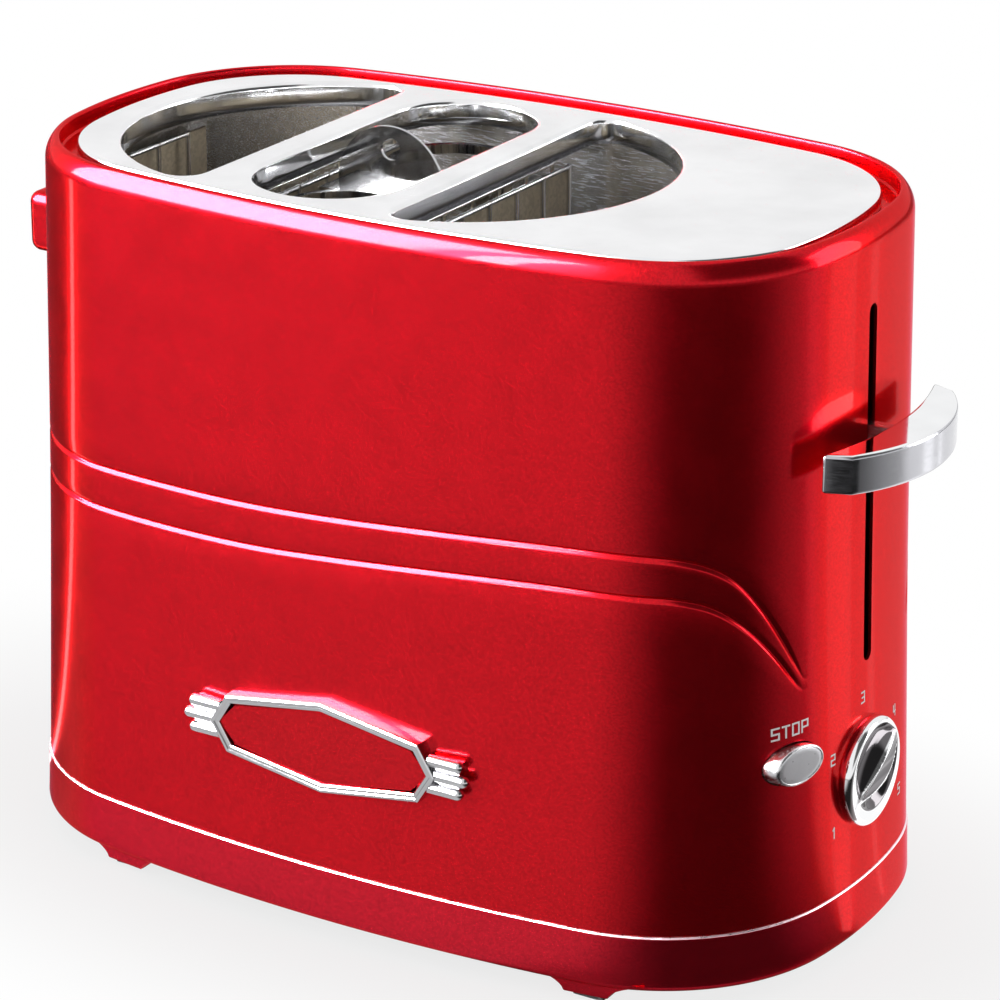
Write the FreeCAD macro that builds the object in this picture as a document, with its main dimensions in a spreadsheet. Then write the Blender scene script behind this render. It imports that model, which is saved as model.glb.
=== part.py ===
import FreeCAD, Part
import math
import os
import Sketcher
from types import SimpleNamespace

# Hot dog toaster with two bun slots and a removable two-well cage.
# Frame: +X to the lever and dial end, -Y to the long face with the badge, +Z up,
# origin at the plan centre of the body, on the surface that the feet stand on.

SIZES = {
    # Plan of the body half way up: side, corner and end arcs, all tangent
    "body_half_length": 137.7,
    "body_half_depth": 80.5,
    "side_radius": 617.7,
    "end_radius": 163.7,
    "corner_radius": 58.7,
    # Heights
    "skirt_z": 5.5,
    "seam_z": 23.4,
    "waist_z": 116.5,
    "rim_z": 227.5,
    "plate_drop": 1.3,
    # Draft: how far the outline stands out at the skirt's edge and in at the rim
    "foot_flare": 4.0,
    "rim_taper": 2.2,
    # Shell
    "shell_wall": 1.0,
    "rim_round": 3.9,
    "mouth_inset": 4.7,
    "ledge_drop": 5.2,
    "ledge_inset": 10.9,
    "lever_slot_width": 5.0,
    "slot_bottom_gap": 2.5,
    "slot_top_gap": 1.3,
    "loose_gap": 0.3,
    "overshoot": 1.0,
    # Skirt, feet and base
    "skirt_wall": 2.5,
    "skirt_step": 0.4,
    "skirt_edge_round": 2.0,
    "spigot_rise": 4.0,
    "spigot_wall": 2.2,
    "foot_left_setback": 57.2,
    "foot_right_setback": 50.2,
    "foot_width": 14.0,
    "foot_root_width": 36.0,
    "foot_inset": 1.8,
    "foot_depth": 12.0,
    "foot_pad_thickness": 1.5,
    "foot_pad_length": 10.0,
    "foot_pad_width": 6.0,
    "foot_pad_setback": 4.5,
    "pan_rise": 2.0,
    "vent_pitch": 11.0,
    "vent_half_length": 22.0,
    "vent_radius": 2.0,
    "pan_sheet": 0.8,
    "boss_radius": 4.0,
    "boss_top": 19.0,
    "screw_radius": 1.5,
    "screw_head_radius": 3.2,
    "screw_head_height": 1.0,
    "screw_tip_gap": 2.0,
    "boss_overlap": 1.0,
    "spigot_root": 3.0,
    # Crumb tray, drawn out to the rear
    "tray_left_gap": 27.5,
    "tray_right_gap": 21.5,
    "tray_front_gap": 18.5,
    "tray_wall": 1.0,
    "tray_wall_height": 11.0,
    "tray_face_top": 21.0,
    "tray_face_thickness": 4.0,
    "tray_grip_width": 44.0,
    "tray_grip_height": 6.0,
    "tray_pull_rise": 2.1,
    "tray_pull_thickness": 3.0,
    # Chassis
    "sheet": 0.8,
    "bay_gap": 5.0,
    "end_setback": 13.7,
    "end_taper": 29.0,
    "wall_setback": 14.5,
    "bend_length": 42.0,
    # Openings in the top plate, placed from the middle of the cooking space
    "bun_end_margin": 22.2,
    "bay_depth": 74.2,
    "plate_inset": 9.8,
    "slot_bridge": 10.75,
    "bun_side_margin": 3.0,
    "bun_corner_radius": 7.0,
    "cage_side_gap": 3.5,
    "dog_side_margin": 8.5,
    "lip_depth": 8.0,
    "lip_round": 0.5,
    # Heaters and guards
    "board_thickness": 1.0,
    "board_gap": 4.5,
    "board_end_gap": 12.0,
    "board_corner_gap": 7.0,
    "board_top_gap": 9.0,
    "opening_margin": 2.0,
    "guard_end_margin": 3.0,
    "ribbon_thickness": 0.3,
    "ribbon_width": 2.5,
    "ribbon_bottom": 44.0,
    "ribbon_pitch": 13.0,
    "guard_wire_radius": 0.8,
    "guard_gap": 3.2,
    "guard_pitch": 16.0,
    "guard_rise": 2.0,
    # Carriage
    "lever_drop": 57.5,
    "stem_half_height": 4.0,
    "stem_half_width": 2.0,
    "bracket_floor_gap": 2.8,
    "travel_up": 35.0,
    "bracket_gap": 7.0,
    "bracket_sheet": 1.5,
    "bracket_drop": 68.5,
    "bracket_beam_height": 16.0,
    "bracket_side_edge": 0.2,
    "bracket_post_half_width": 14.0,
    "arm_gap": 7.4,
    "arm_sheet": 1.2,
    "arm_height": 8.0,
    "rack_rise": 3.0,
    "rack_sheet": 1.0,
    "rack_gap": 4.0,
    "rack_chord_gap": 2.0,
    "crumb_slot_pitch": 21.0,
    "crumb_slot_half_width": 3.0,
    "crumb_slot_margin": 6.0,
    "arm_clearance": 1.0,
    "arm_left_reach": 9.0,
    "rod_radius": 3.0,
    "rod_offset": 10.0,
    "rod_y": 26.0,
    "rod_fit": 0.05,
    "bush_radius": 5.5,
    "bush_height": 22.0,
    "bridge_drop": 13.0,
    "bridge_half_width": 38.0,
    "spring_radius": 5.0,
    "spring_wire": 0.9,
    "spring_turns": 14.0,
    "spring_y": 8.0,
    "armature_half_width": 9.0,
    "armature_thickness": 2.5,
    # Lever handle: a crescent seen from above
    "handle_half_length": 34.0,
    "handle_stand_off": 2.1,
    "handle_end_width": 7.5,
    "handle_inner_bow": 5.2,
    "handle_outer_bow": 11.3,
    "handle_half_height": 6.0,
    "stem_seat_depth": 3.0,
    # Latch magnet
    "magnet_offset": 6.0,
    "magnet_length": 16.0,
    "magnet_half_width": 13.0,
    "magnet_top": 56.0,
    "magnet_leg": 5.0,
    "coil_thickness": 4.0,
    "latch_gap": 0.5,
    "coil_end_gap": 1.0,
    "coil_top_gap": 3.0,
    # Cage for two frankfurters
    "cage_end_gap": 8.5,
    "well_radius": 18.3,
    "well_band": 2.2,
    "cage_sheet": 1.0,
    "cage_drop": 11.7,
    "cage_ring_height": 3.0,
    "cage_strap_width": 5.0,
    "tab_y": 4.0,
    "tab_radius": 19.1,
    "tab_hole_radius": 3.5,
    "tab_hole_rise": 12.0,
    # Controls
    "dial_z": 57.5,
    "dial_shaft_radius": 3.0,
    "dial_shaft_length": 24.0,
    "dial_hole_gap": 1.0,
    "knob_radius": 18.0,
    "knob_neck_radius": 15.5,
    "knob_base_height": 3.5,
    "knob_height": 6.5,
    "knob_grip_half_width": 3.2,
    "knob_gap": 0.4,
    "knob_angle": 58.0,
    "pot_radius": 9.0,
    "pot_depth": 8.0,
    "switch_depth": 4.0,
    "switch_back": 0.4,
    "control_bore_depth": 2.0,
    "control_board_setback": 19.7,
    "control_board_sheet": 1.6,
    "control_board_margin": 10.5,
    "control_board_rise": 16.2,
    "board_part_depth": 11.0,
    "relay_rise": 10.0,
    "relay_y": 27.0,
    "relay_width": 18.0,
    "relay_height": 14.0,
    "transformer_width": 20.0,
    "transformer_height": 24.0,
    "capacitor_radius": 5.0,
    "stop_y": 36.5,
    "stop_z": 71.8,
    "stop_half_width": 12.5,
    "stop_half_height": 6.8,
    "stop_proud": 4.2,
    "stop_skirt": 4.0,
    "stop_travel": 2.5,
    "stop_gap": 0.3,
    "stop_stem_radius": 2.0,
    # Badge on the long face
    "badge_z": 63.9,
    "badge_half_length": 40.5,
    "badge_waist_half_height": 14.8,
    "badge_end_half_height": 9.5,
    "badge_point_length": 6.0,
    "badge_frame": 3.0,
    "badge_height": 3.6,
    "badge_bar_reach": 10.5,
    "badge_bar_radius": 1.9,
    "badge_bar_pitch": 4.4,
    "badge_pin_x": 30.0,
    "badge_pin_radius": 1.2,
    "badge_pin_length": 8.0,
    "badge_field_depth": 1.2,
    "badge_bar_drop": 0.6,
    "badge_depth": 12.0,
    "push_nut_radius": 3.0,
    "push_nut_sheet": 0.8,
    # Grip on the other end
    "grip_z": 185.5,
    "grip_half_height": 10.0,
    "grip_half_width": 16.0,
    "grip_stand_off": 20.9,
    "grip_round": 6.0,
    "grip_screw_y": 8.0,
    "grip_screw_depth": 8.0,
    # Cord gland
    "gland_z": 15.0,
    "gland_radius": 5.0,
    "gland_bore_radius": 3.2,
    "gland_flange_radius": 6.2,
    "gland_flange_thickness": 2.0,
    "gland_length": 10.0,
    "terminal_length": 20.0,
    "terminal_half_width": 15.0,
    "terminal_height": 10.0,
}

doc = FreeCAD.newDocument("hot_dog_toaster")
sheet = doc.addObject("Spreadsheet::Sheet", "Sizes")
for row, (alias, amount) in enumerate(SIZES.items(), start=1):
    sheet.set("A%d" % row, alias)
    sheet.set("B%d" % row, str(amount))
    sheet.setAlias("B%d" % row, alias)
doc.recompute()


class Size(float):
    """A length that also knows the spreadsheet expression it came from."""

    def __new__(cls, amount, text=None):
        made = super().__new__(cls, amount)
        made.text = text if text else "%.6f" % amount
        return made

    def join(self, other, symbol, amount, flipped=False):
        other = other if isinstance(other, Size) else Size(other)
        pair = (other.text, self.text) if flipped else (self.text, other.text)
        return Size(amount, "(%s %s %s)" % (pair[0], symbol, pair[1]))

    def __add__(self, other):
        return self.join(other, "+", float(self) + float(other))

    def __radd__(self, other):
        return self.join(other, "+", float(other) + float(self), True)

    def __sub__(self, other):
        return self.join(other, "-", float(self) - float(other))

    def __rsub__(self, other):
        return self.join(other, "-", float(other) - float(self), True)

    def __mul__(self, other):
        return self.join(other, "*", float(self) * float(other))

    def __rmul__(self, other):
        return self.join(other, "*", float(other) * float(self), True)

    def __truediv__(self, other):
        return self.join(other, "/", float(self) / float(other))

    def __neg__(self):
        return Size(-float(self), "(-1 * %s)" % self.text)


s = SimpleNamespace(**{alias: Size(sheet.get(alias), "Sizes." + alias) for alias in SIZES})

# Places and sizes that follow from the values above, each through its own clearance.
# Heights: deck, ledge and what hangs or stands below them
s.plate_z = s.rim_z - s.plate_drop
s.ledge_z = s.plate_z - s.ledge_drop
s.board_top = s.ledge_z - s.board_top_gap
s.guard_top = s.board_top + s.guard_rise
s.bridge_z = s.ledge_z - s.bridge_drop
s.cage_top_z = s.plate_z - s.cage_drop
s.floor_z = s.seam_z + s.spigot_rise
s.floor_top = s.floor_z + s.sheet
# Heights: lever, carriage and the slot that the lever runs in
s.lever_z = s.ledge_z - s.lever_drop
s.bracket_foot_z = s.lever_z - s.bracket_drop
s.travel_down = s.bracket_foot_z - s.floor_top - s.bracket_floor_gap
s.rack_z = s.bracket_foot_z + s.rack_rise
s.lever_slot_bottom = s.lever_z - s.stem_half_height - s.travel_down - s.slot_bottom_gap
s.lever_slot_top = s.lever_z + s.stem_half_height + s.travel_up + s.slot_top_gap
s.control_board_top = s.stop_z + s.control_board_rise
# Across the body
s.wall_y = s.body_half_depth - s.wall_setback
s.end_panel_half_width = s.wall_y - s.end_taper
s.board_inner_half_width = s.wall_y - s.board_end_gap
s.board_outer_half_width = s.end_panel_half_width - s.board_corner_gap
s.arm_y = s.wall_y - s.arm_gap
s.bracket_half_width = s.arm_y + s.arm_sheet + s.bracket_side_edge
s.tray_front_y = s.body_half_depth - s.tray_front_gap
s.control_board_half_width = s.stop_y + s.control_board_margin
s.deck_half_depth = s.body_half_depth - s.rim_taper - s.plate_inset
s.dog_slot_half_length = s.deck_half_depth - s.dog_side_margin
s.dog_slot_half_width = s.well_radius + s.well_band + s.cage_side_gap
s.well_y = s.dog_slot_half_length - s.well_radius - s.well_band - s.cage_end_gap
# Along the body: the cooking space runs from the left end to the bay with the controls
s.cook_half_length = s.body_half_length - (s.bun_end_margin + s.bay_depth) / 2
s.cook_centre_x = (s.bay_depth - s.bun_end_margin) / 2
s.bun_chord = s.dog_slot_half_width + s.slot_bridge
s.board_inner_x = (s.dog_slot_half_width + s.bun_chord) / 2
s.board_outer_x = s.cook_half_length + s.board_gap
s.end_panel_x = s.body_half_length - s.end_setback
s.wall_bend_x = s.end_panel_x - s.bend_length
s.bay_panel_x = s.board_outer_x - s.cook_centre_x + s.bay_gap
s.bracket_x = s.bay_panel_x + s.bracket_gap
s.rod_x = s.bracket_x + s.rod_offset
s.magnet_x = s.bracket_x + s.magnet_offset
s.control_board_x = s.body_half_length - s.control_board_setback
s.handle_end_x = s.body_half_length + s.handle_stand_off
s.grip_reach = s.body_half_length + s.grip_stand_off
s.foot_left_x = s.body_half_length - s.foot_left_setback
s.foot_right_x = s.body_half_length - s.foot_right_setback
s.tray_left_x = s.cook_half_length + s.cook_centre_x - s.tray_left_gap
s.tray_right_x = s.cook_half_length - s.cook_centre_x - s.tray_right_gap


# ---------------------------------------------------------------- building blocks

def bind(thing, **amounts):
    """Bind properties to the sheet. Two underscores stand for a dot in the path."""
    for path, amount in amounts.items():
        amount = amount if isinstance(amount, Size) else Size(amount)
        thing.setExpression(path.replace("__", "."), amount.text)


def box(label, x, y, z):
    """A block between two limits along each axis."""
    made = doc.addObject("Part::Box", label)
    bind(made, Length=x[1] - x[0], Width=y[1] - y[0], Height=z[1] - z[0])
    bind(made, Placement__Base__x=x[0], Placement__Base__y=y[0], Placement__Base__z=z[0])
    return made


AXES = {
    "x": FreeCAD.Rotation(FreeCAD.Vector(0, 1, 0), 90),
    "y": FreeCAD.Rotation(FreeCAD.Vector(1, 0, 0), -90),
    "z": FreeCAD.Rotation(),
}


def rod(label, axis, start, radius, length):
    """A cylinder that starts at a point and runs along +X, +Y or +Z."""
    made = doc.addObject("Part::Cylinder", label)
    made.Placement = FreeCAD.Placement(FreeCAD.Vector(), AXES[axis])
    bind(made, Radius=radius, Height=length)
    bind(made, Placement__Base__x=start[0], Placement__Base__y=start[1], Placement__Base__z=start[2])
    return made


def cut(label, base, *tools):
    """The base with each tool taken away in turn."""
    for number, tool in enumerate(tools, start=1):
        made = doc.addObject("Part::Cut", "%s_cut_%d" % (label, number))
        made.Base = base
        made.Tool = tool
        base = made
    return base


def fuse(label, *pieces):
    made = doc.addObject("Part::MultiFuse", label + "_fuse")
    made.Shapes = list(pieces)
    made.Refine = True
    return made


def common(label, first, second):
    made = doc.addObject("Part::Common", label + "_common")
    made.Base = first
    made.Tool = second
    return made


def body(label):
    return doc.addObject("PartDesign::Body", label + "_body")


def sketch(owner, name, plane="XY_Plane", offset=0.0):
    """A sketch on one of the body's origin planes, moved along the plane's normal."""
    made = owner.newObject("Sketcher::SketchObject", name)
    base = [item for item in owner.Origin.OriginFeatures if item.Role == plane][0]
    made.AttachmentSupport = [(base, "")]
    made.MapMode = "FlatFace"
    bind(made, AttachmentOffset__Base__z=offset)
    return made


def pad(owner, profile, length, reverse=False, midplane=False):
    made = owner.newObject("PartDesign::Pad", profile.Name + "_pad")
    made.Profile = profile
    made.Reversed = reverse
    if midplane:
        made.SideType = "Symmetric"
    bind(made, Length=length)
    profile.Visibility = False
    return made


def pocket(owner, profile, depth, reverse=False):
    made = owner.newObject("PartDesign::Pocket", profile.Name + "_pocket")
    made.Profile = profile
    made.Reversed = reverse
    bind(made, Length=depth)
    profile.Visibility = False
    return made


def loft(owner, kind, sections):
    made = owner.newObject("PartDesign::" + kind, sections[0].Name + "_loft")
    made.Profile = sections[0]
    made.Sections = sections[1:]
    made.Ruled = True
    return made


def name_datum(made, constraint, label, amount):
    """Add a dimension to a sketch and bind it to the sheet."""
    index = made.addConstraint(constraint)
    made.renameConstraint(index, label)
    amount = amount if isinstance(amount, Size) else Size(amount)
    made.setExpression("Constraints." + label, amount.text)


def polygon(made, points, tag="p"):
    """A closed outline of straight lines through points given as sheet sizes."""
    corners = [FreeCAD.Vector(float(x), float(y), 0) for x, y in points]
    first = made.GeometryCount
    for start, end in zip(corners, corners[1:] + corners[:1]):
        made.addGeometry(Part.LineSegment(start, end), False)
    count = len(points)
    for number in range(count):
        after = first + (number + 1) % count
        made.addConstraint(Sketcher.Constraint("Coincident", first + number, 2, after, 1))
    for number, (x, y) in enumerate(points):
        corner = first + number
        label = "%s%d" % (tag, number)
        name_datum(made, Sketcher.Constraint("DistanceX", -1, 1, corner, 1, float(x)), label + "x", x)
        name_datum(made, Sketcher.Constraint("DistanceY", -1, 1, corner, 1, float(y)), label + "y", y)


def circle(made, x, y, radius, tag="c"):
    index = made.GeometryCount
    centre = FreeCAD.Vector(float(x), float(y), 0)
    made.addGeometry(Part.Circle(centre, FreeCAD.Vector(0, 0, 1), float(radius)), False)
    name_datum(made, Sketcher.Constraint("DistanceX", -1, 1, index, 3, float(x)), tag + "x", x)
    name_datum(made, Sketcher.Constraint("DistanceY", -1, 1, index, 3, float(y)), tag + "y", y)
    name_datum(made, Sketcher.Constraint("Radius", index, float(radius)), tag + "r", radius)


def add_arc(made, centre, radius, start_angle, end_angle):
    ring = Part.Circle(FreeCAD.Vector(centre[0], centre[1], 0), FreeCAD.Vector(0, 0, 1), float(radius))
    made.addGeometry(Part.ArcOfCircle(ring, start_angle, end_angle), False)
    return made.GeometryCount - 1


# ---------------------------------------------------------------- the oval outline

def spread_at(z):
    """How far the outline stands outside its waist size at a height below or above the waist."""
    if z < s.waist_z:
        return s.foot_flare * (s.waist_z - z) / (s.waist_z - s.skirt_z)
    return -(s.rim_taper * (z - s.waist_z) / (s.rim_z - s.waist_z))


def corner_centre():
    """Centre of the corner arc in the +X +Y quarter, tangent inside the side and end arcs."""
    side_y = float(s.body_half_depth - s.side_radius)
    end_x = float(s.body_half_length - s.end_radius)
    reach_side = float(s.side_radius - s.corner_radius)
    reach_end = float(s.end_radius - s.corner_radius)
    span = math.hypot(end_x, side_y)
    along = (reach_side ** 2 - reach_end ** 2 + span ** 2) / (2 * span)
    across = math.sqrt(reach_side ** 2 - along ** 2)
    ux, uy = end_x / span, -side_y / span
    return ux * along + uy * across, side_y + uy * along - ux * across


def oval(made, grow, tag="o"):
    """Eight tangent arcs: the waist outline grown by an amount of the sheet."""
    side_y = s.body_half_depth - s.side_radius
    end_x = s.body_half_length - s.end_radius
    cx, cy = corner_centre()
    side_turn = math.atan2(cy - float(side_y), cx)
    end_turn = math.atan2(cy, cx - float(end_x))
    side_r = s.side_radius + grow
    end_r = s.end_radius + grow
    corner_r = s.corner_radius + grow
    half = math.pi
    arcs = [
        add_arc(made, (float(end_x), 0), end_r, -end_turn, end_turn),
        add_arc(made, (cx, cy), corner_r, end_turn, side_turn),
        add_arc(made, (0, float(side_y)), side_r, side_turn, half - side_turn),
        add_arc(made, (-cx, cy), corner_r, half - side_turn, half - end_turn),
        add_arc(made, (-float(end_x), 0), end_r, half - end_turn, half + end_turn),
        add_arc(made, (-cx, -cy), corner_r, half + end_turn, half + side_turn),
        add_arc(made, (0, -float(side_y)), side_r, half + side_turn, 2 * half - side_turn),
        add_arc(made, (cx, -cy), corner_r, 2 * half - side_turn, 2 * half - end_turn),
    ]
    for this, after in zip(arcs, arcs[1:] + arcs[:1]):
        made.addConstraint(Sketcher.Constraint("Tangent", this, 2, after, 1))
    for index, amount, label in (
        (arcs[0], end_x, "right"),
        (arcs[4], -end_x, "left"),
    ):
        made.addConstraint(Sketcher.Constraint("PointOnObject", index, 3, -1))
        distance = Sketcher.Constraint("DistanceX", -1, 1, index, 3, float(amount))
        name_datum(made, distance, tag + label, amount)
    for index, amount, label in (
        (arcs[2], side_y, "rear"),
        (arcs[6], -side_y, "front"),
    ):
        made.addConstraint(Sketcher.Constraint("PointOnObject", index, 3, -2))
        distance = Sketcher.Constraint("DistanceY", -1, 1, index, 3, float(amount))
        name_datum(made, distance, tag + label, amount)
    radii = (end_r, corner_r, side_r, corner_r)
    for number, index in enumerate(arcs):
        amount = radii[number % 4]
        radius = Sketcher.Constraint("Radius", index, float(amount))
        name_datum(made, radius, "%sr%d" % (tag, number), amount)


def oval_sketch(owner, name, z, *grows):
    """A sketch at a height with one oval, or two for a ring, grown from the outline there."""
    made = sketch(owner, name, offset=z)
    for number, grow in enumerate(grows):
        oval(made, grow, "abc"[number])
    return made


def outline_x(z):
    """Half length of the body at a height."""
    return s.body_half_length + spread_at(z)


def outline_y(z):
    """Half depth of the body at a height."""
    return s.body_half_depth + spread_at(z)


def edges_at(shape_owner, z, tolerance=0.01):
    """Names of the edges that lie flat at a height."""
    names = []
    for number, edge in enumerate(shape_owner.Shape.Edges, start=1):
        limits = edge.BoundBox
        if abs(limits.ZMin - float(z)) < tolerance and abs(limits.ZMax - float(z)) < tolerance:
            names.append("Edge%d" % number)
    return names


ROUND_STEPS = [math.radians(angle) for angle in (0, 30, 60, 90)]


def rolled(start_z, radius, wall, way):
    """Heights and insets of a quarter round that turns inward, upward (1) or downward (-1)."""
    turn = radius - wall
    return [
        (start_z + way * turn * math.sin(step), radius - turn * math.cos(step))
        for step in ROUND_STEPS
    ]


def oval_loft(owner, kind, name, profile, step=0.0):
    """A loft through ovals, each given by its height and its inset from the outline there."""
    sections = [
        oval_sketch(owner, "%s_%d" % (name, number), z, spread_at(z) + step - inset)
        for number, (z, inset) in enumerate(profile, start=1)
    ]
    return loft(owner, kind, sections)


def fillet(owner, feature, names, radius):
    made = owner.newObject("PartDesign::Fillet", feature.Name + "_fillet")
    made.Base = (feature, names)
    bind(made, Radius=radius)
    return made


PARTS = {}


def keep(name, made):
    """Name a finished sub-part."""
    made.Label = name
    PARTS[name] = made
    return made


# ---------------------------------------------------------------- shared places

cook_x = -s.cook_centre_x
pan_z = s.skirt_z + s.pan_rise
pan_top = pan_z + s.pan_sheet
ledge_top = s.ledge_z + s.shell_wall
wall_outer_y = s.wall_y + s.sheet
bend_angle = math.atan2(float(s.end_taper), float(s.bend_length))
end_wall_y = s.end_panel_half_width + s.sheet / math.cos(bend_angle)
bend_step = s.sheet * math.tan(bend_angle / 2)
dial_face_x = outline_x(s.dial_z)
board_face_x = s.control_board_x + s.control_board_sheet
screw_top = s.boss_top - s.screw_tip_gap
badge_y = -outline_y(s.badge_z)


def end_surface_x(y, z):
    """Where the end of the body stands at a sideways place, worked out on the end arc."""
    radius = float(s.end_radius + spread_at(z))
    return float(s.body_half_length - s.end_radius) + math.sqrt(radius ** 2 - float(y) ** 2)


def boss_centres():
    """The four screw bosses of the base, in the middle of each corner arc."""
    cx, cy = corner_centre()
    wall_radius = s.corner_radius + spread_at(s.skirt_z) - s.skirt_wall
    reach = float(wall_radius - s.boss_radius + s.boss_overlap)
    x = cx + reach * math.sqrt(0.5)
    y = cy + reach * math.sqrt(0.5)
    return [(side * x, end * y) for side in (-1, 1) for end in (-1, 1)]


def stadium(made, x, low, high, radius, tag="t"):
    """A slot outline with round ends, standing along the sketch's second axis."""
    x_now, low_now, high_now, r_now = float(x), float(low), float(high), float(radius)
    right = FreeCAD.Vector(x_now + r_now, low_now, 0), FreeCAD.Vector(x_now + r_now, high_now, 0)
    left = FreeCAD.Vector(x_now - r_now, high_now, 0), FreeCAD.Vector(x_now - r_now, low_now, 0)
    first = made.GeometryCount
    made.addGeometry(Part.LineSegment(*right), False)
    top = add_arc(made, (x_now, high_now), radius, 0, math.pi)
    made.addGeometry(Part.LineSegment(*left), False)
    bottom = add_arc(made, (x_now, low_now), radius, math.pi, 2 * math.pi)
    pairs = ((first, top), (top, first + 2), (first + 2, bottom), (bottom, first))
    for this, after in pairs:
        made.addConstraint(Sketcher.Constraint("Tangent", this, 2, after, 1))
    for index, y, name in ((top, high, "top"), (bottom, low, "bottom")):
        across = Sketcher.Constraint("DistanceX", -1, 1, index, 3, x_now)
        along = Sketcher.Constraint("DistanceY", -1, 1, index, 3, float(y))
        radius_rule = Sketcher.Constraint("Radius", index, r_now)
        name_datum(made, across, tag + name + "x", x)
        name_datum(made, along, tag + name + "y", y)
        name_datum(made, radius_rule, tag + name + "r", radius)


def bun_arc(side):
    """Radius and centre of a bun slot's round edge, a side margin inside the deck's long arc."""
    end = s.cook_half_length - side * s.cook_centre_x
    reach = s.side_radius - s.rim_taper - s.plate_inset - s.bun_side_margin
    offset = s.side_radius - s.body_half_depth
    radius = (reach * reach - offset * offset - end * end) / ((reach - end) * 2)
    return radius, side * (end - radius)


def bun_outline(made, side, grow, tag="d"):
    """D-shaped bun slot: a chord beside the cage and a round outer edge. side is -1 or 1."""
    chord = cook_x + side * (s.bun_chord - grow)
    radius, middle = bun_arc(side)
    big = radius + grow
    small = s.bun_corner_radius + grow
    corner_x = float(cook_x + side * (s.bun_chord + s.bun_corner_radius))
    inner_reach = float(radius - s.bun_corner_radius)
    corner_y = math.sqrt(inner_reach ** 2 - (corner_x - float(middle)) ** 2)
    turn = math.atan2(corner_y, side * (corner_x - float(middle)))
    ends = (FreeCAD.Vector(float(chord), corner_y, 0), FreeCAD.Vector(float(chord), -corner_y, 0))
    if side > 0:
        angles = ((-turn, turn), (turn, math.pi), (math.pi, 2 * math.pi - turn))
        order = (corner_y, -corner_y)
    else:
        angles = ((math.pi - turn, math.pi + turn), (math.pi + turn, 2 * math.pi), (0, math.pi - turn))
        order = (-corner_y, corner_y)
        ends = (ends[1], ends[0])
    arc = add_arc(made, (float(middle), 0), big, *angles[0])
    first_corner = add_arc(made, (corner_x, order[0]), small, *angles[1])
    made.addGeometry(Part.LineSegment(*ends), False)
    line = made.GeometryCount - 1
    last_corner = add_arc(made, (corner_x, order[1]), small, *angles[2])
    ring = (arc, first_corner, line, last_corner)
    for this, after in zip(ring, ring[1:] + ring[:1]):
        made.addConstraint(Sketcher.Constraint("Tangent", this, 2, after, 1))
    made.addConstraint(Sketcher.Constraint("PointOnObject", arc, 3, -1))
    made.addConstraint(Sketcher.Constraint("Vertical", line))
    centre = Sketcher.Constraint("DistanceX", -1, 1, arc, 3, float(middle))
    name_datum(made, centre, tag + "middle", middle)
    edge = Sketcher.Constraint("DistanceX", -1, 1, line, 1, float(chord))
    name_datum(made, edge, tag + "chord", chord)
    name_datum(made, Sketcher.Constraint("Radius", arc, float(big)), tag + "big", big)
    name_datum(made, Sketcher.Constraint("Radius", first_corner, float(small)), tag + "first", small)
    name_datum(made, Sketcher.Constraint("Radius", last_corner, float(small)), tag + "last", small)


def ellipse_bar(label, y, z, half_width, half_height, x):
    """An oval bar along X between two limits."""
    edge = doc.addObject("Part::Ellipse", label + "_edge")
    turn = FreeCAD.Rotation(
        FreeCAD.Vector(0, 1, 0), FreeCAD.Vector(0, 0, 1), FreeCAD.Vector(1, 0, 0), "XYZ"
    )
    edge.Placement = FreeCAD.Placement(FreeCAD.Vector(), turn)
    bind(edge, MajorRadius=half_width, MinorRadius=half_height)
    bind(edge, Placement__Base__x=x[0], Placement__Base__y=y, Placement__Base__z=z)
    made = doc.addObject("Part::Extrusion", label)
    made.Base = edge
    made.DirMode = "Custom"
    made.Dir = FreeCAD.Vector(1, 0, 0)
    made.Solid = True
    bind(made, LengthFwd=x[1] - x[0])
    return made


# ---------------------------------------------------------------- body, skirt and deck

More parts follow.
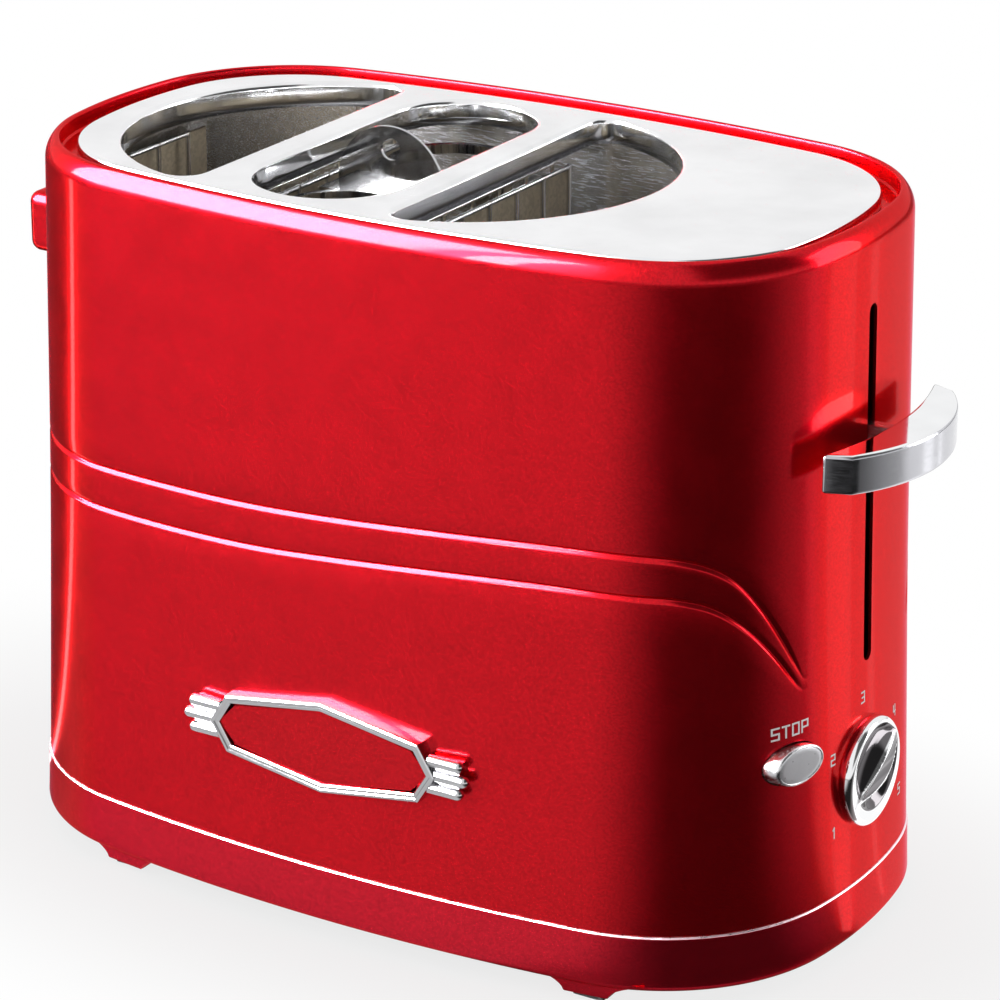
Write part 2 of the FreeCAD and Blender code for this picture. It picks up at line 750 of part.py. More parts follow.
def outer_shell():
    """Deep drawn steel wall with a rolled rim and a ledge that carries the deck."""
    made = body("shell")
    for kind, name, wall in (
        ("AdditiveLoft", "shell_outside", 0.0),
        ("SubtractiveLoft", "cavity", s.shell_wall),
    ):
        profile = [(s.seam_z, wall), (s.waist_z, wall)]
        oval_loft(made, kind, name, profile + rolled(s.rim_z - s.rim_round, s.rim_round, wall, 1))
    at_rim = spread_at(s.rim_z)
    mouth = oval_sketch(made, "mouth", s.rim_z + s.overshoot, at_rim - s.mouth_inset)
    pocket(made, mouth, s.rim_round + s.overshoot * 2)
    lip_outer = at_rim - s.mouth_inset + s.shell_wall
    drop = oval_sketch(made, "rim_drop", s.ledge_z, lip_outer, at_rim - s.mouth_inset)
    pad(made, drop, s.rim_z - s.shell_wall / 2 - s.ledge_z)
    ledge = oval_sketch(made, "ledge", s.ledge_z, lip_outer, at_rim - s.ledge_inset)
    pad(made, ledge, s.shell_wall)
    slot = sketch(made, "lever_slot", "YZ_Plane", outline_x(s.seam_z))
    half_slot = s.lever_slot_width / 2
    stadium(slot, 0.0, s.lever_slot_bottom + half_slot, s.lever_slot_top - half_slot, half_slot)
    pocket(made, slot, s.corner_radius)
    deep = s.corner_radius / 4
    shaft_hole = rod("dial_hole", "x", (dial_face_x - deep, 0.0, s.dial_z),
                     s.dial_shaft_radius + s.dial_hole_gap, deep * 2)
    button_hole = ellipse_bar(
        "stop_hole", -s.stop_y, s.stop_z, s.stop_half_width + s.stop_gap,
        s.stop_half_height + s.stop_gap, (dial_face_x - deep, dial_face_x + deep),
    )
    pin_holes = [
        rod("badge_hole", "y", (side * s.badge_pin_x, badge_y - deep / 2, s.badge_z),
            s.badge_pin_radius, deep)
        for side in (-1, 1)
    ]
    grip_holes = [
        rod("grip_hole", "x", (-outline_x(s.grip_z) - deep / 2, side * s.grip_screw_y, s.grip_z),
            s.screw_radius, deep)
        for side in (-1, 1)
    ]
    keep("outer_shell", cut("outer_shell", made, shaft_hole, button_hole, *pin_holes, *grip_holes))


def oval_block(label, low, high, grow, inner=None):
    """A straight oval block, or a ring of it, between two heights."""
    made = body(label)
    grows = (grow,) if inner is None else (grow, inner)
    pad(made, oval_sketch(made, label + "_plan", low, *grows), high - low)
    return made


def base_skirt():
    """Moulded base ring with its feet, the spigot that centres the shell and four bosses."""
    made = body("skirt")
    edge = rolled(s.skirt_z + s.skirt_edge_round, s.skirt_edge_round, 0.0, -1)
    oval_loft(made, "AdditiveLoft", "skirt_outside", edge[::-1] + [(s.seam_z, 0.0)], s.skirt_step)
    inner = [(s.skirt_z, s.skirt_wall), (s.seam_z, s.skirt_wall)]
    oval_loft(made, "SubtractiveLoft", "skirt_inside", inner, s.skirt_step)
    spigot_grow = spread_at(s.floor_z) - s.shell_wall - s.loose_gap / 2
    spigot = oval_sketch(made, "spigot", s.seam_z - s.spigot_root, spigot_grow, spigot_grow - s.spigot_wall)
    pad(made, spigot, s.spigot_rise + s.spigot_root)

    foot_top = pan_z - s.loose_gap
    foot_grow = spread_at(s.skirt_z) + s.skirt_step - s.foot_inset
    feet = []
    for name, centre in (("left", -s.foot_left_x), ("right", s.foot_right_x)):
        ring = oval_block("foot_ring_" + name, s.foot_pad_thickness, foot_top, foot_grow,
                          foot_grow - s.foot_depth)
        shape = body("foot_shape_" + name)
        plan = sketch(shape, "foot_face_" + name, "XZ_Plane")
        polygon(plan, [
            (centre - s.foot_width / 2, s.foot_pad_thickness),
            (centre + s.foot_width / 2, s.foot_pad_thickness),
            (centre + s.foot_root_width / 2, foot_top),
            (centre - s.foot_root_width / 2, foot_top),
        ])
        pad(shape, plan, s.body_half_depth * 3, midplane=True)
        feet.append(common("foot_" + name, ring, shape))

    bosses = [
        rod("boss", "z", (x, y, pan_top), s.boss_radius, s.boss_top - pan_top)
        for x, y in boss_centres()
    ]
    holes = [
        rod("boss_hole", "z", (x, y, pan_top), s.screw_radius, screw_top - pan_top)
        for x, y in boss_centres()
    ]
    reach = s.body_half_depth * 2
    window = box("tray_window",
                 (-s.tray_left_x - s.loose_gap, s.tray_right_x + s.loose_gap),
                 (s.tray_front_y, reach), (pan_top, s.tray_face_top + s.loose_gap))
    gland_hole = rod("gland_hole", "x", (-outline_x(s.skirt_z) - s.gland_length / 2, 0.0, s.gland_z),
                     s.gland_radius, s.gland_length * 1.5)
    keep("base_skirt", cut("base_skirt", fuse("skirt_all", made, *feet, *bosses), *holes,
                           window, gland_hole))


def foot_pads():
    """Rubber pads under the feet, the only pieces that touch the worktop."""
    at_y = s.body_half_depth + s.foot_flare - s.foot_inset - s.foot_depth / 2 - s.foot_pad_setback
    for end, centre in (("left", -s.foot_left_x), ("right", s.foot_right_x)):
        for side, way in (("front", -1), ("rear", 1)):
            name = "foot_pad_%s_%s" % (side, end)
            half_x, half_y = s.foot_pad_length / 2, s.foot_pad_width / 2
            keep(name, box(name, (centre - half_x, centre + half_x),
                           (way * at_y - half_y, way * at_y + half_y),
                           (0.0, s.foot_pad_thickness)))


def base_pan():
    """Steel bottom plate with vents, held up against the bosses by four screws."""
    made = body("pan")
    grow = spread_at(pan_z) + s.skirt_step - s.skirt_wall - s.loose_gap
    pad(made, oval_sketch(made, "pan_plan", pan_z, grow), s.pan_sheet)
    vents = sketch(made, "pan_vents", offset=pan_top + s.overshoot)
    for number in range(-2, 3):
        x = cook_x + number * s.vent_pitch
        stadium(vents, x, -s.vent_half_length, s.vent_half_length, s.vent_radius, "v%d" % (number + 2))
    pocket(made, vents, s.pan_sheet + s.overshoot * 2)
    holes = [
        rod("pan_hole", "z", (x, y, pan_z - s.overshoot), s.screw_radius, s.pan_sheet + s.overshoot * 2)
        for x, y in boss_centres()
    ]
    keep("base_pan", cut("base_pan", made, *holes))


def screw(label, axis, head_start, shank_start, shank_length):
    """A cap screw: its head and its shank as one solid."""
    head = rod(label + "_head", axis, head_start, s.screw_head_radius, s.screw_head_height)
    shank = rod(label + "_shank", axis, shank_start, s.screw_radius, shank_length)
    return fuse(label, head, shank)


def group(label, pieces):
    made = doc.addObject("Part::Compound", label + "_group")
    made.Links = pieces
    return made


def base_screws():
    pieces = [
        screw("base_screw_%d" % number, "z", (x, y, pan_z - s.screw_head_height),
              (x, y, pan_z), screw_top - pan_z)
        for number, (x, y) in enumerate(boss_centres(), start=1)
    ]
    keep("base_screws", group("base_screws", pieces))


def top_plate():
    """Polished steel deck: edge turned down to the ledge, openings with turned down lips."""
    made = body("deck")
    grow = spread_at(s.rim_z) - s.plate_inset
    pad(made, oval_sketch(made, "deck_plan", s.plate_z - s.sheet, grow), s.sheet)
    edge = oval_sketch(made, "deck_edge", ledge_top, grow, grow - s.sheet)
    pad(made, edge, s.plate_z - ledge_top)
    lip_z = s.plate_z - s.lip_depth
    for name, side in (("left", -1), ("right", 1)):
        lip = sketch(made, "bun_lip_" + name, offset=lip_z)
        bun_outline(lip, side, s.sheet, "a")
        bun_outline(lip, side, 0.0, "b")
        pad(made, lip, s.lip_depth)
        hole = sketch(made, "bun_hole_" + name, offset=s.plate_z + s.overshoot)
        bun_outline(hole, side, 0.0)
        pocket(made, hole, s.sheet + s.overshoot * 2)
    straight = s.dog_slot_half_length - s.dog_slot_half_width
    lip = sketch(made, "dog_lip", offset=lip_z)
    stadium(lip, cook_x, -straight, straight, s.dog_slot_half_width + s.sheet, "a")
    stadium(lip, cook_x, -straight, straight, s.dog_slot_half_width, "b")
    pad(made, lip, s.lip_depth)
    hole = sketch(made, "dog_hole", offset=s.plate_z + s.overshoot)
    stadium(hole, cook_x, -straight, straight, s.dog_slot_half_width)
    last = pocket(made, hole, s.sheet + s.overshoot * 2)
    doc.recompute()
    fillet(made, last, edges_at(last, s.plate_z), s.lip_round)
    keep("top_plate", made)


# ---------------------------------------------------------------- chassis and heaters

def cook_span(offset_low, offset_high):
    """Limits along X given from the middle of the cooking space."""
    return (cook_x + offset_low, cook_x + offset_high)


guard_inner_x = s.board_inner_x + s.guard_gap
guard_dog_x = s.board_inner_x - s.guard_gap
guard_outer_x = s.board_outer_x - s.guard_gap
rack_inner = s.bun_chord + s.rack_chord_gap
rack_outer = s.cook_half_length - s.rack_gap
opening_half_y = s.board_inner_half_width + s.opening_margin
bend_x = cook_x - s.bun_chord - (s.cook_half_length - s.bun_chord) * 0.3


def chassis_floor():
    """Steel floor on the skirt's spigot, open below the three cooking chambers."""
    made = body("floor")
    grow = spread_at(s.floor_top) - s.shell_wall - s.loose_gap
    pad(made, oval_sketch(made, "floor_plan", s.floor_z, grow), s.sheet)
    low, high = s.floor_z - s.overshoot, s.floor_top + s.overshoot
    dog_half = guard_dog_x - s.rack_gap
    gap_inner = guard_inner_x + s.rack_gap
    gap_outer = guard_outer_x - s.rack_gap
    windows = [
        box("floor_gap", limits, (-opening_half_y, opening_half_y), (low, high))
        for limits in (cook_span(-dog_half, dog_half), cook_span(gap_inner, gap_outer))
    ]
    left = body("floor_gap_left")
    plan = sketch(left, "floor_gap_left_plan", offset=low)
    cut_y = s.board_outer_half_width + s.opening_margin
    polygon(plan, [
        (cook_x - gap_inner, -opening_half_y), (cook_x - gap_inner, opening_half_y),
        (bend_x, opening_half_y), (cook_x - gap_outer, cut_y),
        (cook_x - gap_outer, -cut_y), (bend_x, -opening_half_y),
    ])
    pad(left, plan, high - low)
    keep("chassis_floor", cut("chassis_floor", made, *windows, left))


def reflector_wall(name, way):
    """Long reflector sheet, bent in toward the left end to clear the rounded body."""
    made = body(name)
    plan = sketch(made, name + "_plan", offset=s.floor_top)
    points = [
        (s.bay_panel_x, way * s.wall_y), (-s.wall_bend_x, way * s.wall_y),
        (-s.end_panel_x, way * s.end_panel_half_width), (-s.end_panel_x, way * end_wall_y),
        (-s.wall_bend_x - bend_step, way * wall_outer_y), (s.bay_panel_x, way * wall_outer_y),
    ]
    polygon(plan, points)
    pad(made, plan, s.ledge_z - s.floor_top)
    keep(name, made)


def panels():
    height = (s.floor_top, s.ledge_z)
    keep("left_end_panel", box("left_end_panel", (-s.end_panel_x - s.sheet, -s.end_panel_x),
                               (-end_wall_y, end_wall_y), height))
    plain = box("bay_sheet", (s.bay_panel_x, s.bay_panel_x + s.sheet),
                (-wall_outer_y, wall_outer_y), height)
    spare = s.arm_clearance
    middle = s.arm_y + s.arm_sheet / 2
    half = s.arm_sheet / 2 + spare
    slots = [
        box("arm_slot", (s.bay_panel_x - s.overshoot, s.bay_panel_x + s.sheet + s.overshoot),
            (way * middle - half, way * middle + half),
            (s.rack_z - s.travel_down - spare, s.rack_z + s.arm_height + s.travel_up + spare))
        for way in (-1, 1)
    ]
    keep("bay_panel", cut("bay_panel", plain, *slots))


BOARDS = (
    ("left_outer", -1, "outer"),
    ("left_inner", -1, "inner"),
    ("right_inner", 1, "inner"),
    ("right_outer", 1, "outer"),
)


def board_place(side, kind):
    centre = cook_x + side * (s.board_inner_x if kind == "inner" else s.board_outer_x)
    half_width = s.board_inner_half_width if kind == "inner" else s.board_outer_half_width
    return centre, half_width


def heater_boards():
    """Mica boards standing on the floor, each wound with flat heating ribbon."""
    half = s.board_thickness / 2
    for name, side, kind in BOARDS:
        centre, half_width = board_place(side, kind)
        keep("heater_board_" + name, box("board_" + name, (centre - half, centre + half),
                                         (-half_width, half_width), (s.floor_top, s.board_top)))


def heater_windings():
    half = float(s.board_thickness / 2)
    thick = float(s.ribbon_thickness)
    turns = int((s.board_top - s.ribbon_bottom - s.ribbon_width) / s.ribbon_pitch)
    for name, side, kind in BOARDS:
        centre, half_width = board_place(side, kind)
        loops = []
        for number in range(turns):
            z = float(s.ribbon_bottom + number * s.ribbon_pitch)
            outer = Part.makeBox(
                2 * (half + thick), 2 * (float(half_width) + thick), float(s.ribbon_width),
                FreeCAD.Vector(float(centre) - half - thick, -float(half_width) - thick, z),
            )
            inner = Part.makeBox(
                2 * half, 2 * float(half_width), float(s.ribbon_width),
                FreeCAD.Vector(float(centre) - half, -float(half_width), z),
            )
            loops.append(outer.cut(inner))
        made = doc.addObject("Part::Feature", "winding_" + name)
        made.Shape = Part.makeCompound(loops)
        keep("heater_winding_" + name, made)


def wire_guard(name, x, half_width):
    """A grille of upright wires that keeps the bread off one side of a heater board."""
    count = int(half_width / s.guard_pitch)
    pieces = [
        rod("guard_upright", "z", (x, number * s.guard_pitch, s.floor_top), s.guard_wire_radius,
            s.guard_top - s.floor_top)
        for number in range(-count, count + 1)
    ]
    reach = count * s.guard_pitch
    for z in (s.floor_top + s.guard_pitch, s.guard_top - s.guard_wire_radius):
        pieces.append(rod("guard_cross", "y", (x, -reach, z), s.guard_wire_radius, 2 * reach))
    keep(name, fuse(name, *pieces))


def wire_guards():
    inner = s.board_inner_half_width - s.guard_end_margin
    outer = s.board_outer_half_width - s.guard_end_margin
    for side, name in ((-1, "left"), (1, "right")):
        wire_guard("bun_guard_%s_inner" % name, cook_x + side * guard_inner_x, inner)
        wire_guard("bun_guard_%s_outer" % name, cook_x + side * guard_outer_x, outer)
        wire_guard("dog_guard_%s" % name, cook_x + side * guard_dog_x, inner)


# ---------------------------------------------------------------- carriage

post_x = s.bracket_x + s.bracket_sheet
shelf_z = s.magnet_top + s.latch_gap + s.travel_down + s.armature_thickness
shelf_top = shelf_z + s.bracket_sheet
handle_mid_x = s.handle_end_x + s.handle_inner_bow
spring_x = s.magnet_x + s.magnet_length / 2


def carriage_bracket():
    """Upright sheet that joins the arms, the lever stem and the bushes on the guide rods."""
    made = body("bracket")
    face = sketch(made, "bracket_face", "YZ_Plane", s.bracket_x)
    wide, post = s.bracket_half_width, s.bracket_post_half_width
    beam_top = s.bracket_foot_z + s.bracket_beam_height
    post_top = s.lever_z + s.stem_half_height + s.bracket_sheet
    polygon(face, [
        (-wide, s.bracket_foot_z), (wide, s.bracket_foot_z), (wide, beam_top), (post, beam_top),
        (post, post_top), (-post, post_top), (-post, beam_top), (-wide, beam_top),
    ])
    pad(made, face, s.bracket_sheet)
    pieces = [made]
    pieces.append(box("shelf", (s.bracket_x, s.magnet_x + s.magnet_length + s.bracket_sheet), (-post, post),
                      (shelf_z, shelf_top)))
    web = s.bush_radius / 2
    for way in (-1, 1):
        y = way * s.rod_y
        pieces.append(rod("bush", "z", (s.rod_x, y, s.bracket_foot_z), s.bush_radius, s.bush_height))
        pieces.append(box("bush_web", (s.bracket_x, s.rod_x), (y - web, y + web),
                          (s.bracket_foot_z, s.bracket_foot_z + s.bracket_beam_height)))
    bores = [
        rod("bush_bore", "z", (s.rod_x, way * s.rod_y, s.bracket_foot_z - s.overshoot),
            s.rod_radius + s.rod_fit, s.bush_height + s.overshoot * 2)
        for way in (-1, 1)
    ]
    keep("carriage_bracket", cut("carriage_bracket", fuse("bracket_all", *pieces), *bores))


def carriage_arms():
    left_x = cook_x - s.bun_chord - s.arm_left_reach
    height = (s.rack_z, s.rack_z + s.arm_height)
    keep("carriage_arm_front", box("arm_front", (left_x, s.bracket_x),
                                   (-s.arm_y - s.arm_sheet, -s.arm_y), height))
    keep("carriage_arm_rear", box("arm_rear", (left_x, s.bracket_x),
                                  (s.arm_y, s.arm_y + s.arm_sheet), height))


def rack_slots(name, base, x_low, x_high):
    """Crumb slots across a rack between two limits along X."""
    half = s.crumb_slot_half_width
    slots = []
    for number in range(-2, 3):
        y = number * s.crumb_slot_pitch
        slots.append(box("crumb_slot", (x_low + s.crumb_slot_margin, x_high - s.crumb_slot_margin),
                         (y - half, y + half),
                         (s.rack_z - s.overshoot, s.rack_z + s.rack_sheet + s.overshoot)))
    return cut(name, base, *slots)


def racks():
    """Floors that carry the buns and the cage, hung between the arms."""
    height = (s.rack_z, s.rack_z + s.rack_sheet)
    right = cook_span(rack_inner, rack_outer)
    plain = box("rack_right", right, (-s.arm_y, s.arm_y), height)
    keep("bun_rack_right", rack_slots("bun_rack_right", plain, *right))
    made = body("rack_left")
    plan = sketch(made, "rack_left_plan", offset=s.rack_z)
    inner_x, outer_x = cook_x - rack_inner, cook_x - rack_outer
    corner_y = s.board_outer_half_width + s.rack_gap
    polygon(plan, [
        (inner_x, -s.arm_y), (inner_x, s.arm_y), (bend_x, s.arm_y), (outer_x, corner_y),
        (outer_x, -corner_y), (bend_x, -s.arm_y),
    ])
    pad(made, plan, s.rack_sheet)
    keep("bun_rack_left", rack_slots("bun_rack_left", made, outer_x, inner_x))
    half = guard_dog_x - s.rack_gap
    middle = cook_span(-half, half)
    plain = box("platform", middle, (-s.arm_y, s.arm_y), height)
    keep("hot_dog_platform", rack_slots("hot_dog_platform", plain, *middle))


def armature_plate():
    keep("armature_plate", box("armature", (s.magnet_x, s.magnet_x + s.magnet_length),
                               (-s.armature_half_width, s.armature_half_width),
                               (shelf_z - s.armature_thickness, shelf_z)))


def lever():
    """Chrome crescent on a flat stem that passes through the slot of the shell."""
    pocket_x = handle_mid_x + s.stem_seat_depth
    height = (s.lever_z - s.stem_half_height, s.lever_z + s.stem_half_height)
    width = (-s.stem_half_width, s.stem_half_width)
    keep("lever_stem", box("stem", (post_x, pocket_x), width, height))
    made = body("handle")
    plan = sketch(made, "handle_plan", offset=s.lever_z - s.handle_half_height)
    half = s.handle_half_length
    outer_end_x = s.handle_end_x + s.handle_end_width
    for x, bow, name in (
        (s.handle_end_x, s.handle_inner_bow, "inner"),
        (outer_end_x, s.handle_outer_bow, "outer"),
    ):
        radius = (half * half + bow * bow) / (2.0 * bow)
        centre_x = float(x + bow) - float(radius)
        turn = math.atan2(float(half), float(x) - centre_x)
        index = add_arc(plan, (centre_x, 0), radius, -turn, turn)
        for end, y in ((1, -half), (2, half)):
            label = "%s%d" % (name, end)
            across = Sketcher.Constraint("DistanceX", -1, 1, index, end, float(x))
            along = Sketcher.Constraint("DistanceY", -1, 1, index, end, float(y))
            name_datum(plan, across, label + "x", x)
            name_datum(plan, along, label + "y", y)
        name_datum(plan, Sketcher.Constraint("Radius", index, float(radius)), name + "r", radius)
    for end, y in ((1, -half), (2, half)):
        inner_corner = FreeCAD.Vector(float(s.handle_end_x), float(y), 0)
        outer_corner = FreeCAD.Vector(float(outer_end_x), float(y), 0)
        plan.addGeometry(Part.LineSegment(inner_corner, outer_corner), False)
        line = plan.GeometryCount - 1
        plan.addConstraint(Sketcher.Constraint("Coincident", line, 1, 0, end))
        plan.addConstraint(Sketcher.Constraint("Coincident", line, 2, 1, end))
    pad(made, plan, s.handle_half_height * 2)
    seat = box("stem_seat", (post_x, pocket_x), width, height)
    keep("lever_handle", cut("lever_handle", made, seat))


def guide_rods():
    for way, name in ((-1, "front"), (1, "rear")):
        keep("guide_rod_" + name, rod("guide_" + name, "z", (s.rod_x, way * s.rod_y, s.floor_top),
                                      s.rod_radius, s.bridge_z - s.floor_top))


def rod_bridge():
    far_x = spring_x + s.spring_radius + s.sheet
    keep("rod_bridge", box("bridge", (s.bay_panel_x + s.sheet, far_x),
                           (-s.bridge_half_width, s.bridge_half_width), (s.bridge_z, s.bridge_z + s.sheet)))


def carriage_spring():
    """Tension spring that lifts the carriage, between the bracket's shelf and the bridge."""
    start, end = float(shelf_top), float(s.bridge_z)
    wire, radius = float(s.spring_wire) / 2, float(s.spring_radius) - float(s.spring_wire) / 2
    rise = end - start - 2 * wire
    helix = Part.makeHelix(rise / float(s.spring_turns), rise, radius)
    ring = Part.Wire([Part.Circle(FreeCAD.Vector(radius, 0, 0), FreeCAD.Vector(0, 1, 0), wire).toShape()])
    coil = Part.Wire(helix).makePipeShell([ring], True, True)
    made = doc.addObject("Part::Feature", "spring")
    made.Shape = coil
    made.Placement = FreeCAD.Placement(
        FreeCAD.Vector(float(spring_x), float(s.spring_y), start + wire), FreeCAD.Rotation()
    )
    keep("carriage_spring", made)


def latch_magnet():
    """Electromagnet on the floor that holds the carriage down while it toasts."""
    length = (s.magnet_x, s.magnet_x + s.magnet_length)
    block = box("core_block", length, (-s.magnet_half_width, s.magnet_half_width),
                (s.floor_top, s.magnet_top))
    inner_y = s.magnet_leg / 2
    outer_y = s.magnet_half_width - s.magnet_leg / 2
    across = (length[0] - s.overshoot, length[1] + s.overshoot)
    window_z = (s.floor_top + s.magnet_leg, s.magnet_top + s.overshoot)
    windows = [
        box("core_window", across, limits, window_z)
        for limits in ((inner_y, outer_y), (-outer_y, -inner_y))
    ]
    keep("latch_magnet_core", cut("latch_magnet_core", block, *windows))
    thick = s.coil_thickness
    coil_z = (s.floor_top + s.magnet_leg + s.coil_end_gap, s.magnet_top - s.coil_top_gap)
    around = box("coil_outer", (length[0] - thick, length[1] + thick),
                 (-inner_y - thick, inner_y + thick), coil_z)
    centre = box("coil_inner", length, (-inner_y, inner_y), coil_z)
    keep("latch_magnet_coil", cut("latch_magnet_coil", around, centre))


# ---------------------------------------------------------------- cage

def hot_dog_cage():
    """Removable basket: two wells on a bottom plate, a bridge between them and a lifting tab."""
    bottom = s.rack_z + s.rack_sheet
    bottom_top = bottom + s.cage_sheet
    outer = s.well_radius + s.well_band
    pieces, bores = [], []
    for way in (-1, 1):
        y = way * s.well_y
        pieces.append(rod("well_floor", "z", (cook_x, y, bottom), outer, s.cage_sheet))
        ring_z = s.cage_top_z - s.cage_ring_height
        pieces.append(rod("well_ring", "z", (cook_x, y, ring_z), outer, s.cage_ring_height))
        half = s.cage_strap_width / 2
        strap_z = (bottom, s.cage_top_z)
        for side in (-1, 1):
            near, far = (s.well_radius, outer) if side > 0 else (-outer, -s.well_radius)
            pieces.append(box("side_strap", (cook_x + near, cook_x + far), (y - half, y + half), strap_z))
        near, far = (y + s.well_radius, y + outer) if way > 0 else (y - outer, y - s.well_radius)
        pieces.append(box("end_strap", (cook_x - half, cook_x + half), (near, far), strap_z))
        bores.append(rod("well_bore", "z", (cook_x, y, bottom_top), s.well_radius, s.cage_top_z))
    pieces.append(box("floor_bridge", (cook_x - outer / 2, cook_x + outer / 2),
                      (-s.well_y, s.well_y), (bottom, bottom_top)))
    wide = s.tab_radius
    pieces.append(box("top_bridge", (cook_x - wide, cook_x + wide), (-s.well_y / 2, s.well_y / 2),
                      (s.cage_top_z - s.cage_sheet, s.cage_top_z)))
    basket = cut("cage_basket", fuse("cage_frame", *pieces), *bores)
    tab_y = (-s.tab_y - s.cage_sheet / 2, -s.tab_y + s.cage_sheet / 2)
    disc = rod("tab_disc", "y", (cook_x, tab_y[0], s.cage_top_z), s.tab_radius, s.cage_sheet)
    upper = box("tab_upper", (cook_x - outer, cook_x + outer), tab_y,
                (s.cage_top_z - s.cage_sheet, s.cage_top_z + outer))
    hole = rod("tab_hole", "y", (cook_x, tab_y[0] - s.overshoot, s.cage_top_z + s.tab_hole_rise),
               s.tab_hole_radius, s.cage_sheet + s.overshoot * 2)
    tab = cut("cage_tab", common("cage_tab_half", disc, upper), hole)
    keep("hot_dog_cage", fuse("hot_dog_cage", basket, tab))


# ---------------------------------------------------------------- controls

knob_x = outline_x(s.dial_z - s.knob_radius) + s.knob_gap
shaft_x = board_face_x + s.control_bore_depth
shaft_end_x = shaft_x + s.dial_shaft_length


def dial_knob():
    """Chrome knob: a flared base and a raised lens-shaped grip, turned to its setting."""
    made = body("knob")
    base = sketch(made, "knob_base", "YZ_Plane")
    circle(base, 0.0, 0.0, s.knob_radius)
    doc.recompute()
    low = pad(made, base, s.knob_base_height)
    doc.recompute()
    top_edge = [
        "Edge%d" % number for number, edge in enumerate(low.Shape.Edges, start=1)
        if abs(edge.BoundBox.XMin - float(s.knob_base_height)) < 0.01
    ]
    chamfer = made.newObject("PartDesign::Chamfer", "knob_flare")
    chamfer.Base = (low, top_edge)
    bind(chamfer, Size=s.knob_radius - s.knob_neck_radius)
    grip = sketch(made, "knob_grip", "YZ_Plane")
    half, reach = s.knob_grip_half_width, s.knob_neck_radius
    radius = (reach * reach + half * half) / (2.0 * half)
    turn = math.asin(float(reach) / float(radius))
    offset = float(radius - half)
    for side, name in ((1, "near"), (-1, "far")):
        middle = 0 if side > 0 else math.pi
        index = add_arc(grip, (-side * offset, 0), radius, middle - turn, middle + turn)
        label = "grip_" + name
        name_datum(grip, Sketcher.Constraint("Radius", index, float(radius)), label, radius)
        for end in (1, 2):
            y = reach * (side * (-1 if end == 1 else 1))
            across = Sketcher.Constraint("PointOnObject", index, end, -2)
            along = Sketcher.Constraint("DistanceY", -1, 1, index, end, float(y))
            grip.addConstraint(across)
            name_datum(grip, along, "%s_%d" % (label, end), y)
    pad(made, grip, s.knob_height)
    bore = sketch(made, "knob_bore", "YZ_Plane")
    circle(bore, 0.0, 0.0, s.dial_shaft_radius)
    pocket(made, bore, shaft_end_x - knob_x, reverse=True)
    made.Placement = FreeCAD.Placement(
        FreeCAD.Vector(), FreeCAD.Rotation(FreeCAD.Vector(1, 0, 0), -float(s.knob_angle))
    )
    bind(made, Placement__Base__x=knob_x, Placement__Base__z=s.dial_z)
    keep("dial_knob", made)


def dial_parts():
    """Browning control on the board and the shaft that the knob turns."""
    case = rod("pot_case", "x", (board_face_x, 0.0, s.dial_z), s.pot_radius, s.pot_depth)
    bore = rod("pot_bore", "x", (shaft_x, 0.0, s.dial_z), s.dial_shaft_radius + s.rod_fit, s.pot_depth)
    keep("browning_pot", cut("browning_pot", case, bore))
    shaft = rod("shaft", "x", (shaft_x, 0.0, s.dial_z), s.dial_shaft_radius, s.dial_shaft_length)
    keep("dial_shaft", shaft)


def stop_parts():
    """Oval push button, its stem and the switch that it works on the board."""
    surface_x = end_surface_x(s.stop_y, s.stop_z)
    edge_x = end_surface_x(s.stop_y + s.stop_half_width, s.stop_z)
    back_x = Size(edge_x) - s.shell_wall - s.stop_skirt
    face_x = Size(surface_x) + s.stop_proud
    cap = ellipse_bar("stop_cap", -s.stop_y, s.stop_z, s.stop_half_width, s.stop_half_height,
                      (back_x, face_x))
    bore_x = board_face_x + s.switch_back
    stem_x = bore_x + s.stop_travel + s.loose_gap
    stem = rod("stop_stem", "x", (stem_x, -s.stop_y, s.stop_z), s.stop_stem_radius,
               back_x - stem_x + s.overshoot)
    keep("stop_button", fuse("stop_button", cap, stem))
    half = s.stop_stem_radius * 2.5
    case = box("switch_case", (board_face_x, board_face_x + s.switch_depth),
               (-s.stop_y - half, -s.stop_y + half), (s.stop_z - half, s.stop_z + half))
    bore = rod("switch_bore", "x", (bore_x, -s.stop_y, s.stop_z),
               s.stop_stem_radius + s.stop_gap, s.switch_depth)
    keep("cancel_switch", cut("cancel_switch", case, bore))


def control_board():
    board_x = (s.control_board_x, board_face_x)
    keep("control_board", box("board", board_x, (-s.control_board_half_width, s.control_board_half_width),
                              (s.floor_top, s.control_board_top)))
    face_x = s.control_board_x
    relay_z = s.floor_top + s.relay_rise
    pieces = []
    for name, y, width, height in (
        ("relay", s.relay_y, s.relay_width, s.relay_height),
        ("transformer", -s.relay_y, s.transformer_width, s.transformer_height),
    ):
        pieces.append(box(name, (face_x - s.board_part_depth, face_x), (y - width / 2, y + width / 2),
                          (relay_z, relay_z + height)))
    pieces.append(rod("capacitor", "x", (face_x - s.board_part_depth, s.relay_y, s.stop_z),
                      s.capacitor_radius, s.board_part_depth))
    keep("board_parts", group("board_parts", pieces))


# ---------------------------------------------------------------- badge, grip, gland, tray

